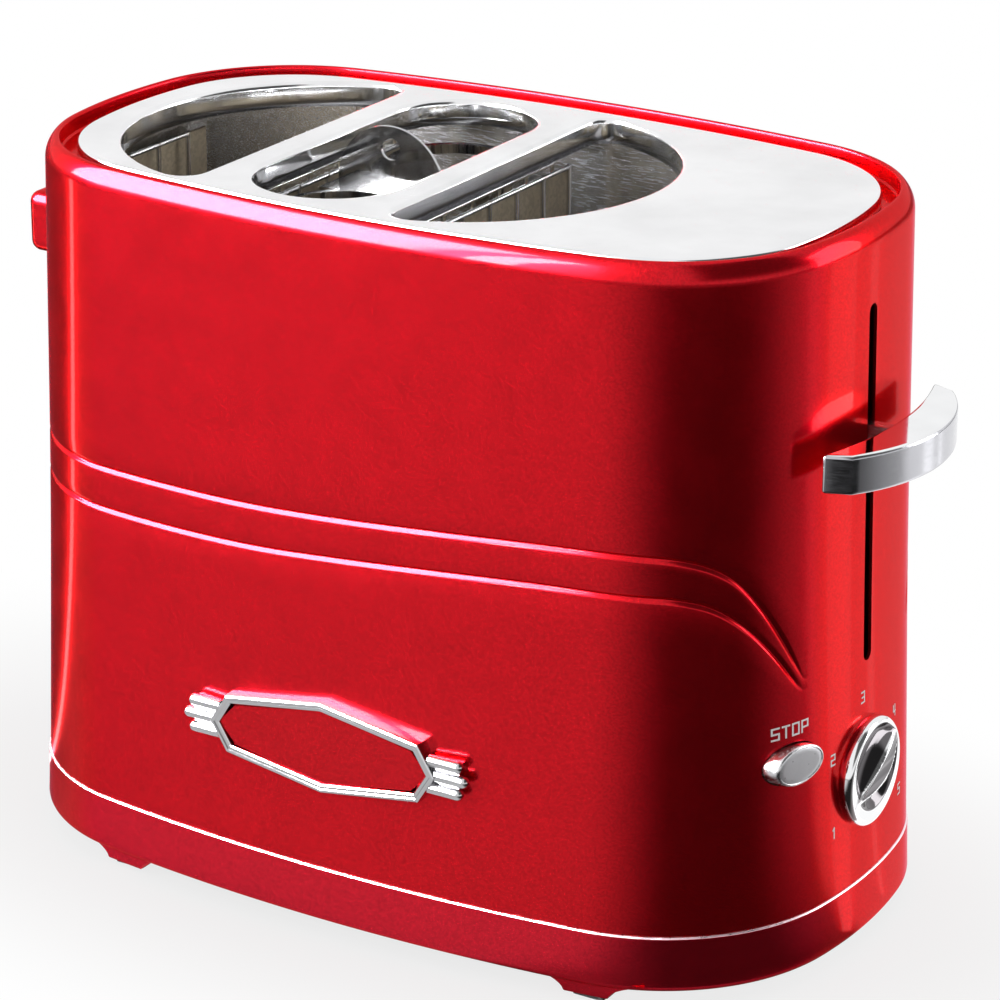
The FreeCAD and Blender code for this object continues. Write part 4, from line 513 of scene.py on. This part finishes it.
def band_point(station, kind, share):
    """Place of a station on a row: in one of the grooves, or a share of the way across plain wall."""
    run = from_end(station)
    low, low_slope = smooth_curve(lower_groove, run)
    high, high_slope = smooth_curve(upper_groove, run)
    room = 0.45 * (high - low) / GROOVE_HALF
    low_scale = min(math.hypot(1.0, low_slope), room)
    high_scale = min(math.hypot(1.0, high_slope), room)
    low_half, high_half = GROOVE_HALF * low_scale, GROOVE_HALF * high_scale
    fade = min(1.0, max(0.0, (run - GROOVE_START) / GROOVE_FADE))
    fade *= 3 - 2 * fade
    edges = {"low": (BAND_LOW, low - low_half),
             "middle": (low + low_half, high - high_half),
             "high": (high + high_half, BAND_HIGH)}
    if kind in edges:
        start, end = edges[kind]
        z = start + (end - start) * share
        return taper(z), z
    centre, scale = (low, low_scale) if kind == "lower" else (high, high_scale)
    offset, depth = groove_section[share]
    z = centre + offset * scale
    return taper(z) + depth * fade, z


def plain_rows(low, high, step, inset=0.0):
    """Rows of the tapered wall from one height to another."""
    count = max(1, math.ceil(abs(high - low) / step))
    heights = [low + (high - low) * i / count for i in range(count + 1)]
    return [(taper(z) - inset, z) for z in heights]


def make_shell():
    """Red outer shell: tapered wall, twin grooves, rolled rim, ledge, and its three openings."""
    wall = 1.0
    edge = taper(RIM_Z)
    centre = edge - RIM_INSET
    rows = [(taper(SEAM_Z) - 0.35, SEAM_Z), (taper(SEAM_Z), SEAM_Z + 0.35)]
    rows += plain_rows(SEAM_Z + 4.0, BAND_LOW, 6.0)[:-1] + band_rows()
    rows += plain_rows(BAND_HIGH, RIM_Z, 6.0)[1:-1]
    rows += arc_rows(edge - RIM_TURN, RIM_Z, RIM_TURN, 0, RIM_BREAK, 9)
    rows += arc_rows(centre, RIM_TOP - RIM_ROUND, RIM_ROUND, RIM_BREAK, 90, 4)[1:]
    rows += arc_rows(centre, RIM_TOP - 0.8, 0.8, 90, 180, 4)[1:]
    rows += [(centre - 0.8, 224.4), (centre - 0.8, 222.6), (centre - 1.4, 222.0),
             (centre - 7.0, 222.0), (centre - 7.0, 221.0), (taper(221.0) - wall, 221.0)]
    rows += plain_rows(212.0, SEAM_Z, 45.0, wall)
    shell = build("outer_shell_skin", *sweep(body_outline, rows), lacquer_red, 35.0)

    slot_half, slot_low, slot_high = 2.5, 93.0, 203.8
    turns = [math.radians(15 * i) for i in range(13)]
    slot = [(-slot_half * math.cos(t), slot_low + slot_half - slot_half * math.sin(t)) for t in turns]
    slot += [(slot_half * math.cos(t), slot_high - slot_half + slot_half * math.sin(t)) for t in turns]
    stop, dial = oval(STOP_Y, STOP_Z, 10.1, 6.6, 48), oval(0.0, DIAL_Z, 4.0, 4.0, 48)
    inside, outside = 115.0, 150.0
    cut_out(shell, [prism("cutter", outline, inside, outside, "x", lacquer_red)
                    for outline in (slot, stop, dial)])
    hold_gloss(shell.data)
    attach(shell, "housing")
    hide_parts("outer_shell")


def hold_gloss(mesh):
    """Gives the wall round the openings the normals of the uncut wall, so that its gloss is even."""
    mesh.set_sharp_from_angle(angle=math.radians(35))
    smooth = [(0.0, 0.0, 0.0)] * len(mesh.loops)
    nearest, low, high, facing = 120, 48, 206, 0.8
    for face in mesh.polygons:
        x, y, z = [c / MM for c in face.center]
        half = 52 if 60 <= z <= BAND_LOW else 30
        if x < nearest or abs(y) > half or not low <= z <= high or face.normal.x < facing:
            continue
        for index in face.loop_indices:
            vertex = mesh.vertices[mesh.loops[index].vertex_index].co / MM
            normal = wall_normal(vertex.x, vertex.y, vertex.z)
            if normal is not None:
                smooth[index] = normal
    mesh.normals_split_custom_set(smooth)


def wall_normal(x, y, z):
    """Outward direction of the wall near the lever end, or None off its surface."""
    cx, cy, radius = END_X, 0.0, END_RADIUS
    turn = math.atan2(y, x - END_X)
    if abs(turn) > math.radians(END_TURN):
        cx, cy, radius = CORNER_X, math.copysign(CORNER_Y, y), CORNER_RADIUS
        turn = math.atan2(y - cy, x - cx)
    off = math.hypot(x - cx, y - cy) - radius - taper(z)
    if abs(off) > 0.05:
        return None
    lean = (taper(z - 1.0) - taper(z + 1.0)) / 2.0
    return Vector((math.cos(turn), math.sin(turn), lean)).normalized()


make_shell()


# ---------------------------------------------------------------- top plate

DECK_Z, DECK_GROW, LIP_Z, DECK_GAUGE = 226.2, -12.0, 218.2, 0.8
DOG_X, DOG_HALF_WIDTH, DOG_ARC_Y = -26.0, 24.0, 36.0
BUN_STRAIGHT, BUN_CORNER = 34.75, 7.0


def bun_arcs(side, radius, middle):
    """Arcs of a bun slot: one long round edge, two corners and a straight edge."""
    corner, corner_x = BUN_CORNER, DOG_X + side * (BUN_STRAIGHT + BUN_CORNER)
    corner_y = math.sqrt((radius - corner) ** 2 - (corner_x - middle) ** 2)
    turn = math.degrees(math.atan2(corner_y, (corner_x - middle) * side))
    arcs = [(middle, 0.0, radius, -turn, turn),
            (corner_x, corner_y, corner, turn, 180.0),
            (corner_x, -corner_y, corner, 180.0, 360.0 - turn)]
    if side > 0:
        return arcs
    return [(cx, cy, r, 180.0 - end, 180.0 - start) for cx, cy, r, start, end in reversed(arcs)]


dog_arcs = [(DOG_X, DOG_ARC_Y, DOG_HALF_WIDTH, 0.0, 180.0),
            (DOG_X, -DOG_ARC_Y, DOG_HALF_WIDTH, 180.0, 360.0)]


def make_deck():
    """Polished top plate with a rolled edge and rolled, lipped slots."""
    roll, lip = 1.2, 1.6
    openings = [arcs_outline(arcs, STEP)
                for arcs in (bun_arcs(1, 65.5, -2.0), bun_arcs(-1, 62.93, -52.57), dog_arcs)]
    bm = bmesh.new()

    def rings(stations, rows):
        """Skins rows along an outline and returns the edges of the last one."""
        loops = [vertices(bm, [(*at(s, grow), z) for s in stations]) for grow, z in rows]
        ring_faces(bm, loops)
        last = loops[-1]
        return [bm.edges.get((last[i], last[(i + 1) % len(last)])) for i in range(len(last))]

    rim = [(DECK_GROW, 222.2), (DECK_GROW, 223.6)]
    rim += arc_rows(DECK_GROW - roll, DECK_Z - roll, roll, 0, 90, 5)
    edges = rings(body_outline, rim + [(DECK_GROW - roll - 0.3, DECK_Z)])
    for stations in openings:
        rows = [(0.0, LIP_Z), (0.0, LIP_Z + 3.0)]
        rows += arc_rows(lip, DECK_Z - lip, lip, 180, 90, 6)
        edges += rings(stations, rows + [(lip + 0.3, DECK_Z)])
    bmesh.ops.triangle_fill(bm, edges=edges, use_beauty=True)
    deck = from_bmesh("top_plate_skin", bm, deck_steel, 40.0)
    thick = deck.modifiers.new("gauge", "SOLIDIFY")
    thick.thickness = DECK_GAUGE * MM
    thick.offset = -1.0
    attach(deck, "housing")
    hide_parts("top_plate")


make_deck()


# ---------------------------------------------------------------- lever, dial and button

def bowed(x_end, half, bow, count):
    """Points of a shallow arc across y, from -half to half, bulging to +x."""
    radius = (half * half + bow * bow) / (2 * bow)
    reach = math.asin(half / radius)
    turns = [reach * (2 * i / count - 1) for i in range(count + 1)]
    return [(x_end + bow - radius + radius * math.cos(t), radius * math.sin(t)) for t in turns]


def make_lever():
    """Curved chrome lever bar with rounded edges and brushed broad faces."""
    low, high = 157.5, 169.5
    outer = bowed(147.3, 33.6, 11.3, 28)
    inner = bowed(139.2, 36.8, 5.8, 28)
    bar = prism("lever_handle_bar", outer + inner[::-1], low, high, "z", chrome, 60.0)
    bevel(bar, 1.1, 4, 40.0)
    bar.data.materials.append(brushed_chrome)
    for face in bar.data.polygons:
        face.material_index = int(abs(face.normal.z) < 0.3)
    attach(bar, "carriage")
    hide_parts("lever_handle")


make_lever()


def make_side_grip():
    """Rounded lug on the end away from the lever, lacquered like the body."""
    wall_x, half, corner, low, high = -135.4, 16.0, 4.0, 175.5, 195.5
    corner_x, corner_y = -154.6, half - corner
    turns = [math.pi / 2 * i / 8 for i in range(9)]
    outline = [(wall_x, -half), (wall_x, half)]
    outline += [(corner_x - corner * math.sin(t), corner_y + corner * math.cos(t)) for t in turns]
    outline += [(corner_x - corner * math.cos(t), -corner_y - corner * math.sin(t)) for t in turns]
    lug = prism("side_grip_lug", outline, low, high, "z", lacquer_red, 60.0)
    bevel(lug, 3.6, 6, 60.0)
    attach(lug, "housing")
    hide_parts("side_grip")


make_side_grip()


def make_spring():
    """Coil spring between the carriage and the bridge above it, built once at its rest length: it doesn't
    close up as the carriage rises.
    """
    low, high = (Vector(corner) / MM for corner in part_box("carriage_spring"))
    middle = (low + high) / 2
    gauge, turns, around = 0.45, 14, 20
    radius = (high.x - low.x) / 2 - gauge
    bottom, top = low.z + gauge, high.z - gauge
    steps = turns * around
    ring = oval(0.0, 0.0, gauge, gauge, 8)
    bm = bmesh.new()
    loops = []
    for k in range(steps + 1):
        t = math.tau * k / around
        out = Vector((math.cos(t), math.sin(t), 0))
        centre = Vector((middle.x, middle.y, bottom + (top - bottom) * k / steps)) + out * radius
        loops.append(vertices(bm, [centre + out * across + Vector((0, 0, up)) for across, up in ring]))
    ring_faces(bm, loops)
    bm.faces.new(loops[0])
    bm.faces.new(loops[-1])
    spring = from_bmesh("carriage_spring_coil", bm, steel, 60.0)
    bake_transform(spring)
    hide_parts("carriage_spring")


make_spring()


def knob_finish():
    """Bright chrome, with a dark colour painted into the scoops of the face as their reflection."""
    made = Finish("knob_chrome", (0.86, 0.865, 0.875), metallic=1.0, roughness=0.06)
    depth = made.node("Attribute", [("attribute_name", "dish")]).outputs["Fac"]
    share = made.node("MapRange", Value=depth, From_Min=-0.08, From_Max=0.08).outputs["Result"]
    # Dark grey base colour inside the scoops: a painted dark reflection.
    ramp = made.node("ValToRGB", Fac=share)
    ramp.color_ramp.elements[0].color = (*made.colour, 1.0)
    ramp.color_ramp.elements[1].color = (0.13, 0.122, 0.128, 1.0)
    made.link(ramp.outputs["Color"], "Base Color")
    marks = made.noise(420.0, 4.0)
    made.link(made.spread(marks, 0.05, 0.1), "Roughness")
    made.bump(marks, 0.006, 0.12)
    return made.material


def dial_face(y, z):
    """Height of the knob's face and how far inside a scoop a place lies.

    A lens-shaped ridge stands between two hollows that are a little above the knob's centre,
    so that the plain band round them is widest below.
    """
    y, z = y - 0.3, z - 2.0
    turn_cos, turn_sin, reach, lowest = 0.848, 0.530, 14.6, 0.5
    along, across = y * turn_cos + z * turn_sin, z * turn_cos - y * turn_sin
    radius = math.hypot(y, z)
    half = 3.2 * max(0.0, 1 - (along / reach) ** 2) + 0.25
    top = 6.1 - 2.7 * (along / reach) ** 2
    beside = max(0.0, abs(across) - half)
    floor = lowest + 2.5 * ease((radius - 9.8) / 4.4) ** 1.5
    height = floor + (top - floor) * math.exp(-beside / 2.2)
    if not beside:
        height -= 0.25 * (1 - (across / half) ** 2) * half / 3.6
    return max(height, lowest), min(abs(abs(across) - half) - 0.5, 14.0 - radius)


def make_knob():
    """Chrome dial knob: low rolled ring round the scooped face."""
    base_x, count, face_rings, face_radius = 140.0, 96, 48, 15.0
    profile = [(4.0, -1.4), (16.6, -1.4), (17.0, -1.1), (17.2, 0.6), (17.1, 1.6), (16.8, 2.4),
               (16.3, 2.9), (15.8, 3.1), (15.3, 3.1)]
    bm = bmesh.new()
    # How far inside a scoop each point lies; the knob's material paints its dark reflection from it.
    dish = bm.verts.layers.float.new("dish")
    loops = [vertices(bm, [(base_x + along, y, z) for y, z in oval(0.0, DIAL_Z, r, r, count)])
             for r, along in profile]
    bm.faces.new(loops[0])
    for ring in loops:
        for vertex in ring:
            vertex[dish] = -1.0
    for k in range(face_rings):
        radius = face_radius * (1 - k / face_rings)
        spots = oval(0.0, 0.0, radius, radius, count)
        faces = [dial_face(*spot) for spot in spots]
        places = zip(spots, faces)
        loop = vertices(bm, [(base_x + height, y, DIAL_Z + up) for (y, up), (height, _) in places])
        for vertex, (_, inside) in zip(loop, faces):
            vertex[dish] = inside
        loops.append(loop)
    ring_faces(bm, loops)
    bm.faces.new(loops[-1])
    knob = from_bmesh("dial_knob_cap", bm, knob_finish(), 50.0)
    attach(knob, "dial")
    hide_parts("dial_knob")


def make_button():
    """Oval stop button that follows the slope of the wall: bright edge, satin face."""
    face_x, half_y, half_z, count = 136.9, 9.7, 6.2, 72
    slope = math.tan(math.radians(15.0))

    def ovals(bm, rows):
        """Rings at distances inward from the oval's edge and back from its face."""
        made = []
        for inset, back in rows:
            around = oval(0.0, 0.0, half_y - inset, half_z - inset, count)
            made.append(vertices(bm, [(face_x - back + slope * across, STOP_Y + across, STOP_Z + up)
                                      for across, up in around]))
        return made

    bm = bmesh.new()
    loops = ovals(bm, [(0.3, 8.0), (0.0, 7.6), (0.0, 1.0), (0.06, 0.6), (0.25, 0.25), (0.55, 0.05),
                       (0.8, 0.0), (0.95, 0.1), (1.05, 0.5)])
    ring_faces(bm, loops)
    bm.faces.new(loops[0])
    rim = from_bmesh("stop_button_rim", bm, satin_chrome, 45.0)
    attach(rim, "stop")
    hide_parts("stop_button")
    bm = bmesh.new()
    loops = ovals(bm, [(1.0, 0.5), (1.0, 0.2), (1.15, 0.08), (2.5, 0.03), (4.5, 0.0), (5.8, 0.0)])
    ring_faces(bm, loops)
    bm.faces.new(loops[-1])
    face = from_bmesh("stop_button_face", bm, satin, 45.0)
    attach(face, "stop")


make_knob()
make_button()


# ---------------------------------------------------------------- badge

def inset_corners(points, amount):
    """Corners of a convex outline, counterclockwise, with every edge moved inward."""
    made = []
    for i, (x, z) in enumerate(points):
        before, after = points[i - 1], points[(i + 1) % len(points)]
        first = Vector((x - before[0], z - before[1])).normalized()
        second = Vector((after[0] - x, after[1] - z)).normalized()
        inward = Vector((-first.y - second.y, first.x + second.x)).normalized()
        away = amount / inward.dot(Vector((-first.y, first.x)))
        made.append((x + inward.x * away, z + inward.y * away))
    return made


def front_y(x, z):
    """Place of the wall on the badge face."""
    return SIDE_Y - math.sqrt((SIDE_RADIUS + taper(z)) ** 2 - x * x)


def make_badge():
    """Chrome badge frame with a double edge and three rounded bars at each end."""
    middle = 63.9
    corners = [(40.5, middle), (34.5, middle + 9.5), (0.0, middle + 14.8), (-34.5, middle + 9.5),
               (-40.5, middle), (-34.5, middle - 9.5), (0.0, middle - 14.8), (34.5, middle - 9.5)]
    section = [(0.0, -85.2), (0.2, -85.7), (0.6, -86.0), (1.3, -86.0), (1.6, -85.65), (1.9, -85.75),
               (2.5, -85.7), (2.85, -85.35), (3.0, -84.9), (3.0, -84.0)]
    bm = bmesh.new()
    loops = [vertices(bm, [(x, front_y(x, z) + 0.4, z) for x, z in corners])]
    loops += [vertices(bm, [(x, y, z) for x, z in inset_corners(corners, inset)]) for inset, y in section]
    ring_faces(bm, loops)
    for side in (1, -1):
        for number in (-1, 0, 1):
            bar_rounds(bm, side, middle + number * 4.4, 51.0 - 1.9 * abs(number))
        block = [(38.0, middle - 5.2), (47.6, middle - 5.2), (47.6, middle + 5.2), (38.0, middle + 5.2)]
        loops = [vertices(bm, [(side * x, front_y(x, z) + 0.4, z) for x, z in block]),
                 vertices(bm, [(side * x, -83.4, z) for x, z in block])]
        ring_faces(bm, loops)
        bm.faces.new(loops[1])
    frame_piece = from_bmesh("badge_frame", bm, badge_chrome, 24.0)
    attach(frame_piece, "housing")
    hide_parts("badge_bezel")


def bar_rounds(bm, side, z, reach):
    """One round-ended bar that points away from the badge."""
    radius, y, start, count = 1.9, -83.5, 37.5, 20
    bends = [math.radians(15 * i) for i in range(7)]
    rows = [(start, radius)]
    rows += [(reach - radius + radius * math.sin(t), max(0.05, radius * math.cos(t))) for t in bends]
    loops = [vertices(bm, [(side * x, *spot) for spot in oval(y, z, r, r, count)]) for x, r in rows]
    ring_faces(bm, loops)
    bm.faces.new(loops[-1])


make_badge()


# ---------------------------------------------------------------- skirt and tray

def make_skirt():
    """Red base moulding: pale pink metal on the seam shoulder as a painted highlight, rounded lower edge
    and four flared feet.
    """
    step, low, gauge = 0.4, 5.5, 2.5
    foot, top = taper(low) + step, taper(22.4) + step
    rows = [(foot - gauge, low), (foot - 2.0, low)]
    rows += arc_rows(foot - 2.0, low + 2.0, 2.0, -90, 0, 6)[1:]
    rows += [(taper(z) + step, z) for z in (12.0, 17.0, 22.0)]
    rows += arc_rows(top - 0.8, SEAM_Z - 0.85, 0.8, 0, 90, 5)
    # The spigot inside the shell
    rows += [(2.06, SEAM_Z - 0.05), (2.06, 27.4), (-0.14, 27.4), (-0.14, 23.0),
             (taper(20.0) + step - gauge, 21.5)]
    skirt = build("base_skirt_moulding", *sweep(body_outline, rows), skirt_red, 40.0)
    tray_window = [(-88.3, 8.3), (42.3, 8.3), (42.3, 21.3), (-88.3, 21.3)]
    gland_hole = oval(0.0, 15.0, 5.0, 5.0, 32)
    cut_out(skirt, [prism("cutter", tray_window, 60.0, 100.0, "y", skirt_red),
                    prism("cutter", gland_hole, -160.0, -120.0, "x", skirt_red)])
    skirt.data.set_sharp_from_angle(angle=math.radians(40))
    # The upward faces of the seam shoulder take the pale pink metal: a painted highlight.
    skirt.data.materials.append(painted_seam_highlight)
    for face in skirt.data.polygons:
        if SEAM_Z - 0.62 < face.center.z / MM < SEAM_Z + 0.3 and face.normal.z > 0.2:
            face.material_index = 1
    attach(skirt, "housing")
    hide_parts("base_skirt")
    for name, x in (("left", -80.5), ("right", 87.5)):
        for end, side in (("front", -1), ("rear", 1)):
            make_foot("foot_%s_%s" % (end, name), x, side)


def make_foot(name, centre, side):
    """Foot that widens in a hollow curve into the skirt and follows its side."""
    low, high, grow, depth, count = 1.5, 7.6, 2.6, 12.0, 16
    half_width, flare, hollow = 7.0, 11.0, 2.1
    rows = [(low, 0.5), (1.65, 0.15)] + [(z, 0.0) for z in (2.0, 2.8, 3.7, 4.6, 5.4, 6.2, 6.9, high)]
    bm, loops = bmesh.new(), []
    for z, inset in rows:
        half = half_width + flare * ((z - low) / (high - low)) ** hollow - inset
        across = [centre + half * (2 * i / count - 1) for i in range(count + 1)]
        outer = [(x, -side * front_y(x, z) - side * (taper(z) - grow + inset), z) for x in across]
        inner = [(x, y - side * (depth - 2 * inset), z) for x, y, _ in outer[::-1]]
        loops.append(vertices(bm, outer + inner))
    ring_faces(bm, loops)
    bm.faces.new(loops[0])
    bm.faces.new(loops[-1])
    piece = from_bmesh(name, bm, skirt_red, 35.0)
    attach(piece, "housing")


make_skirt()


# ---------------------------------------------------------------- lettering

strokes = {
    "S": [[(1, 1), (0, 1), (0, 0.5), (1, 0.5), (1, 0), (0, 0)]],
    "T": [[(0, 1), (1, 1)], [(0.5, 1), (0.5, 0)]],
    "O": [[(0, 0), (1, 0), (1, 1), (0, 1), (0, 0)]],
    "P": [[(0, 0), (0, 1), (1, 1), (1, 0.42), (0, 0.42)]],
    "1": [[(0.2, 0.8), (0.55, 1), (0.55, 0)]],
    "2": [[(0, 1), (1, 1), (1, 0.5), (0, 0.5), (0, 0), (1, 0)]],
    "3": [[(0, 1), (1, 1), (1, 0), (0, 0)], [(0.2, 0.5), (1, 0.5)]],
    "4": [[(0.1, 1), (0.1, 0.4), (1, 0.4)], [(0.85, 1), (0.85, 0)]],
    "5": [[(1, 1), (0, 1), (0, 0.52), (1, 0.52), (1, 0), (0, 0)]],
}


def lettering(name, text, width, height, pitch, stroke, y, z):
    """Printed characters on the lever end, drawn in strokes and centred at a place on the wall."""
    bm = bmesh.new()
    start = y - (pitch * (len(text) - 1) + width) / 2
    for index, character in enumerate(text):
        for line in strokes[character]:
            for (a, b), (c, d) in zip(line, line[1:]):
                first, last = Vector((a * width, b * height)), Vector((c * width, d * height))
                along = (last - first).normalized() * stroke / 2
                side = Vector((-along.y, along.x))
                first, last = first - along, last + along
                corners = [first - side, last - side, last + side, first + side]
                places = []
                for spot in corners:
                    py = start + index * pitch + spot.x
                    pz = z + spot.y - height / 2
                    places.append((end_x(py, pz) + 0.05, py, pz))
                bm.faces.new(vertices(bm, places))
    for face in bm.faces:
        if face.normal.x < 0:
            face.normal_flip()
    mesh = bpy.data.meshes.new(name)
    bm.to_mesh(mesh)
    bm.free()
    mesh.materials.append(ink)
    piece = place(name, mesh)
    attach(piece, "housing")


def end_x(y, z):
    """Place of the wall at the lever end."""
    radius = END_RADIUS + taper(z)
    x = END_X + math.sqrt(radius * radius - y * y)
    if math.degrees(math.atan2(abs(y), x - END_X)) > END_TURN:
        radius = CORNER_RADIUS + taper(z)
        x = CORNER_X + math.sqrt(radius * radius - (abs(y) - CORNER_Y) ** 2)
    return x


number_places = ((-19.5, 44.2), (-20.1, 68.0), (-2.8, 82.0), (21.4, 68.5), (26.5, 40.4))
for number, (y, z) in enumerate(number_places, start=1):
    lettering("dial_number_%d" % number, str(number), 1.9, 3.3, 0.0, 0.55, y, z)
lettering("stop_word", "STOP", 2.25, 3.5, 3.5, 0.6, -38.6, 83.6)


# ---------------------------------------------------------------- floor, lamps, world and camera

def make_floor():
    """Wide pale floor that keeps the object's shadow and fades into the white backdrop."""
    size, level = 4.0, -0.0002  # just under the foot pads
    bm = bmesh.new()
    corners = ((-size, -size), (size, -size), (size, size), (-size, size))
    bm.faces.new([bm.verts.new((x, y, level)) for x, y in corners])
    made = Finish("floor", (0.8, 0.8, 0.8), roughness=0.9, Specular_IOR_Level=0.0)
    made.vary(made.noise(3.0), 0.985, 1.0)
    made.bump(made.noise(400.0), 0.05, 0.1)
    seen = made.node("LightPath").outputs["Is Camera Ray"]
    oval = made.stretched(0.55, 1.0, 1.0)
    away = made.node("VectorMath", [("operation", "LENGTH")], Vector=oval).outputs["Value"]
    fade = made.node("MapRange", [("interpolation_type", "SMOOTHSTEP")], Value=away,
                     From_Min=0.08, From_Max=0.18, To_Min=0.8).outputs["Result"]
    share = made.node("Math", [("operation", "MULTIPLY")])
    made.tree.links.new(seen, share.inputs[0])
    made.tree.links.new(fade, share.inputs[1])
    glow = made.node("Emission", Strength=1.0)
    made.mix(share.outputs[0], made.shader.outputs[0], glow.outputs[0])
    floor = from_bmesh("floor", bm, made.material)


def softbox(name, azimuth, elevation, distance, width, height, power):
    """Area lamp in metres and watts that faces the object, azimuth from +X towards +Y."""
    a, e = math.radians(azimuth), math.radians(elevation)
    aim = Vector((0, 0, 0.12))
    place = Vector((math.cos(a) * math.cos(e), math.sin(a) * math.cos(e), math.sin(e))) * distance + aim
    lamp = bpy.data.lights.new(name, "AREA")
    lamp.shape = "RECTANGLE"
    lamp.size, lamp.size_y, lamp.energy = width, height, power
    made = bpy.data.objects.new(name, lamp)
    made.location = place
    made.rotation_euler = (aim - place).to_track_quat("-Z", "Y").to_euler()
    collection.objects.link(made)
    return made


def card(name, grid, cover, glow):
    """Studio card that only reflections show: dark with no glow, or bright. It thins out with cover."""
    rows, columns = len(grid), len(grid[0])
    mesh = bpy.data.meshes.new(name)
    faces = [(r * columns + c, r * columns + c + 1, (r + 1) * columns + c + 1, (r + 1) * columns + c)
             for r in range(rows - 1) for c in range(columns - 1)]
    mesh.from_pydata([p for row in grid for p in row], [], faces)
    covers = mesh.attributes.new("cover", "FLOAT", "POINT")
    covers.data.foreach_set("value", [v for row in cover for v in row])
    made = Finish(name, (0.02, 0.02, 0.02))
    thin = made.node("BsdfTransparent").outputs[0]
    bounces = made.node("LightPath").outputs["Diffuse Depth"]
    direct = made.node("MapRange", Value=bounces, To_Min=glow, To_Max=0.0).outputs["Result"]
    light = made.node("Emission", Strength=direct).outputs[0]
    share = made.node("Attribute", [("attribute_name", "cover")]).outputs["Fac"]
    made.mix(share, thin, light)
    mesh.materials.append(made.material)
    piece = bpy.data.objects.new(name, mesh)
    collection.objects.link(piece)
    piece.visible_camera = piece.visible_diffuse = piece.visible_transmission = False
    piece.visible_volume_scatter = piece.visible_shadow = False


def between(value, low, high, soft):
    """1 well inside two limits, 0 outside them."""
    return ease((value - low) / soft) * ease((high - value) / soft)


def floor_card(name, apex, start, end, soft, glow, strength=1.0, begin=0.02, lift=0.001):
    """Card just over the floor between two directions from a place, soft at its sides and far end."""
    columns, rows, reach = 40, 16, 1.5
    turns = [start + (end - start) * c / columns for c in range(columns + 1)]
    grid, cover = [], []
    for r in range(rows + 1):
        away = begin + (reach - begin) * r / rows
        grid.append([(apex[0] + away * math.cos(math.radians(t)),
                      apex[1] + away * math.sin(math.radians(t)), lift) for t in turns])
        fade = ease((reach - away) / (0.3 * reach)) * strength
        cover.append([fade * between(t, start, end, soft) for t in turns])
    card(name, grid, cover, glow)


def standing_card(name, azimuths, elevations, distance, soft, glow, strength=1.0):
    """Upright curved card round the object between two directions and two heights."""
    columns, rows, centre_z = 24, 16, 0.15
    (start, end), (low, high) = azimuths, elevations
    turns = [start + (end - start) * c / columns for c in range(columns + 1)]
    grid, cover = [], []
    for r in range(rows + 1):
        tilt = low + (high - low) * r / rows
        away, up = distance * math.cos(math.radians(tilt)), distance * math.sin(math.radians(tilt))
        grid.append([(away * math.cos(math.radians(t)), away * math.sin(math.radians(t)), centre_z + up)
                     for t in turns])
        fade = between(tilt, low, high, soft) * strength
        cover.append([fade * between(t, start, end, soft) for t in turns])
    card(name, grid, cover, glow)


def make_world():
    """White for the camera and reflections, softer for lighting."""
    world = bpy.data.worlds.new("studio")
    bpy.context.scene.world = world
    world.use_nodes = True
    tree = world.node_tree
    background = tree.nodes["Background"]
    path = tree.nodes.new("ShaderNodeLightPath").outputs
    white = path["Is Camera Ray"]
    for ray in ("Is Glossy Ray", "Is Transmission Ray"):
        either = tree.nodes.new("ShaderNodeMath")
        either.operation = "MAXIMUM"
        tree.links.new(white, either.inputs[0])
        tree.links.new(path[ray], either.inputs[1])
        white = either.outputs[0]
    level = tree.nodes.new("ShaderNodeMapRange")
    level.inputs["To Min"].default_value = 0.25
    level.inputs["To Max"].default_value = 1.0
    tree.links.new(white, level.inputs["Value"])
    tree.links.new(level.outputs["Result"], background.inputs["Strength"])
    background.inputs["Color"].default_value = (1.0, 1.0, 1.0, 1.0)


def make_camera():
    """Camera at the photograph's place, with its lens."""
    data = bpy.data.cameras.new("camera")
    camera = bpy.data.objects.new("camera", data)
    collection.objects.link(camera)
    data.lens, data.sensor_width = 140.35, 36.0
    data.shift_x, data.shift_y = 0.0296, -0.0051
    data.clip_start, data.clip_end = 0.05, 20.0
    right = Vector((0.85126, 0.52474, 0.00156))
    up = Vector((-0.18757, 0.3015, 0.93484))
    back = Vector((0.49008, -0.79608, 0.35508))
    matrix = Matrix((right, up, back)).transposed().to_4x4()
    matrix.translation = Vector((0.5965, -0.96895, 0.54979))
    camera.matrix_world = matrix
    bpy.context.scene.camera = camera


make_floor()
make_world()
make_camera()
softbox("key_left", -139.0, 30.0, 1.6, 1.0, 0.8, 6.0)
softbox("right_rear", 40.0, 14.0, 1.6, 0.6, 0.9, 9.0)
softbox("overhead", 90.0, 80.0, 1.5, 1.6, 1.6, 5.0).visible_glossy = False
standing_card("rim_card", (-168.0, -112.0), (6.0, 50.0), 1.4, 2.0, 55.0)
standing_card("small_card", (-109.6, -105.0), (6.0, 44.0), 1.4, 0.6, 70.0)
standing_card("end_flag", (-50.0, 36.0), (4.0, 74.0), 1.3, 14.0, 0.0, 0.9)
floor_card("front_card", (0.0, -0.05), -182.0, -26.0, 14.0, 0.7)
floor_card("corner_flag", (0.078, -0.016), -98.0, 24.0, 44.0, 0.0, strength=0.96, begin=0.07,
           lift=0.002)
floor_card("left_flag", (-0.078, -0.016), 120.0, 190.0, 10.0, 0.0, strength=0.6, lift=0.002)
floor_card("left_streak", (-0.078, -0.016), -171.0, -165.0, 2.0, 8.0, lift=0.003)
floor_card("end_card", (0.1, -0.02), 22.0, 110.0, 8.0, 1.1)
floor_card("end_streak", (0.136, -0.018), 45.0, 57.0, 1.2, 1.7, lift=0.003)
floor_card("slot_streak", (0.1375, 0.0079), 61.0, 67.0, 2.0, 1.8, lift=0.004)
bpy.context.scene.view_settings.view_transform = "Standard"
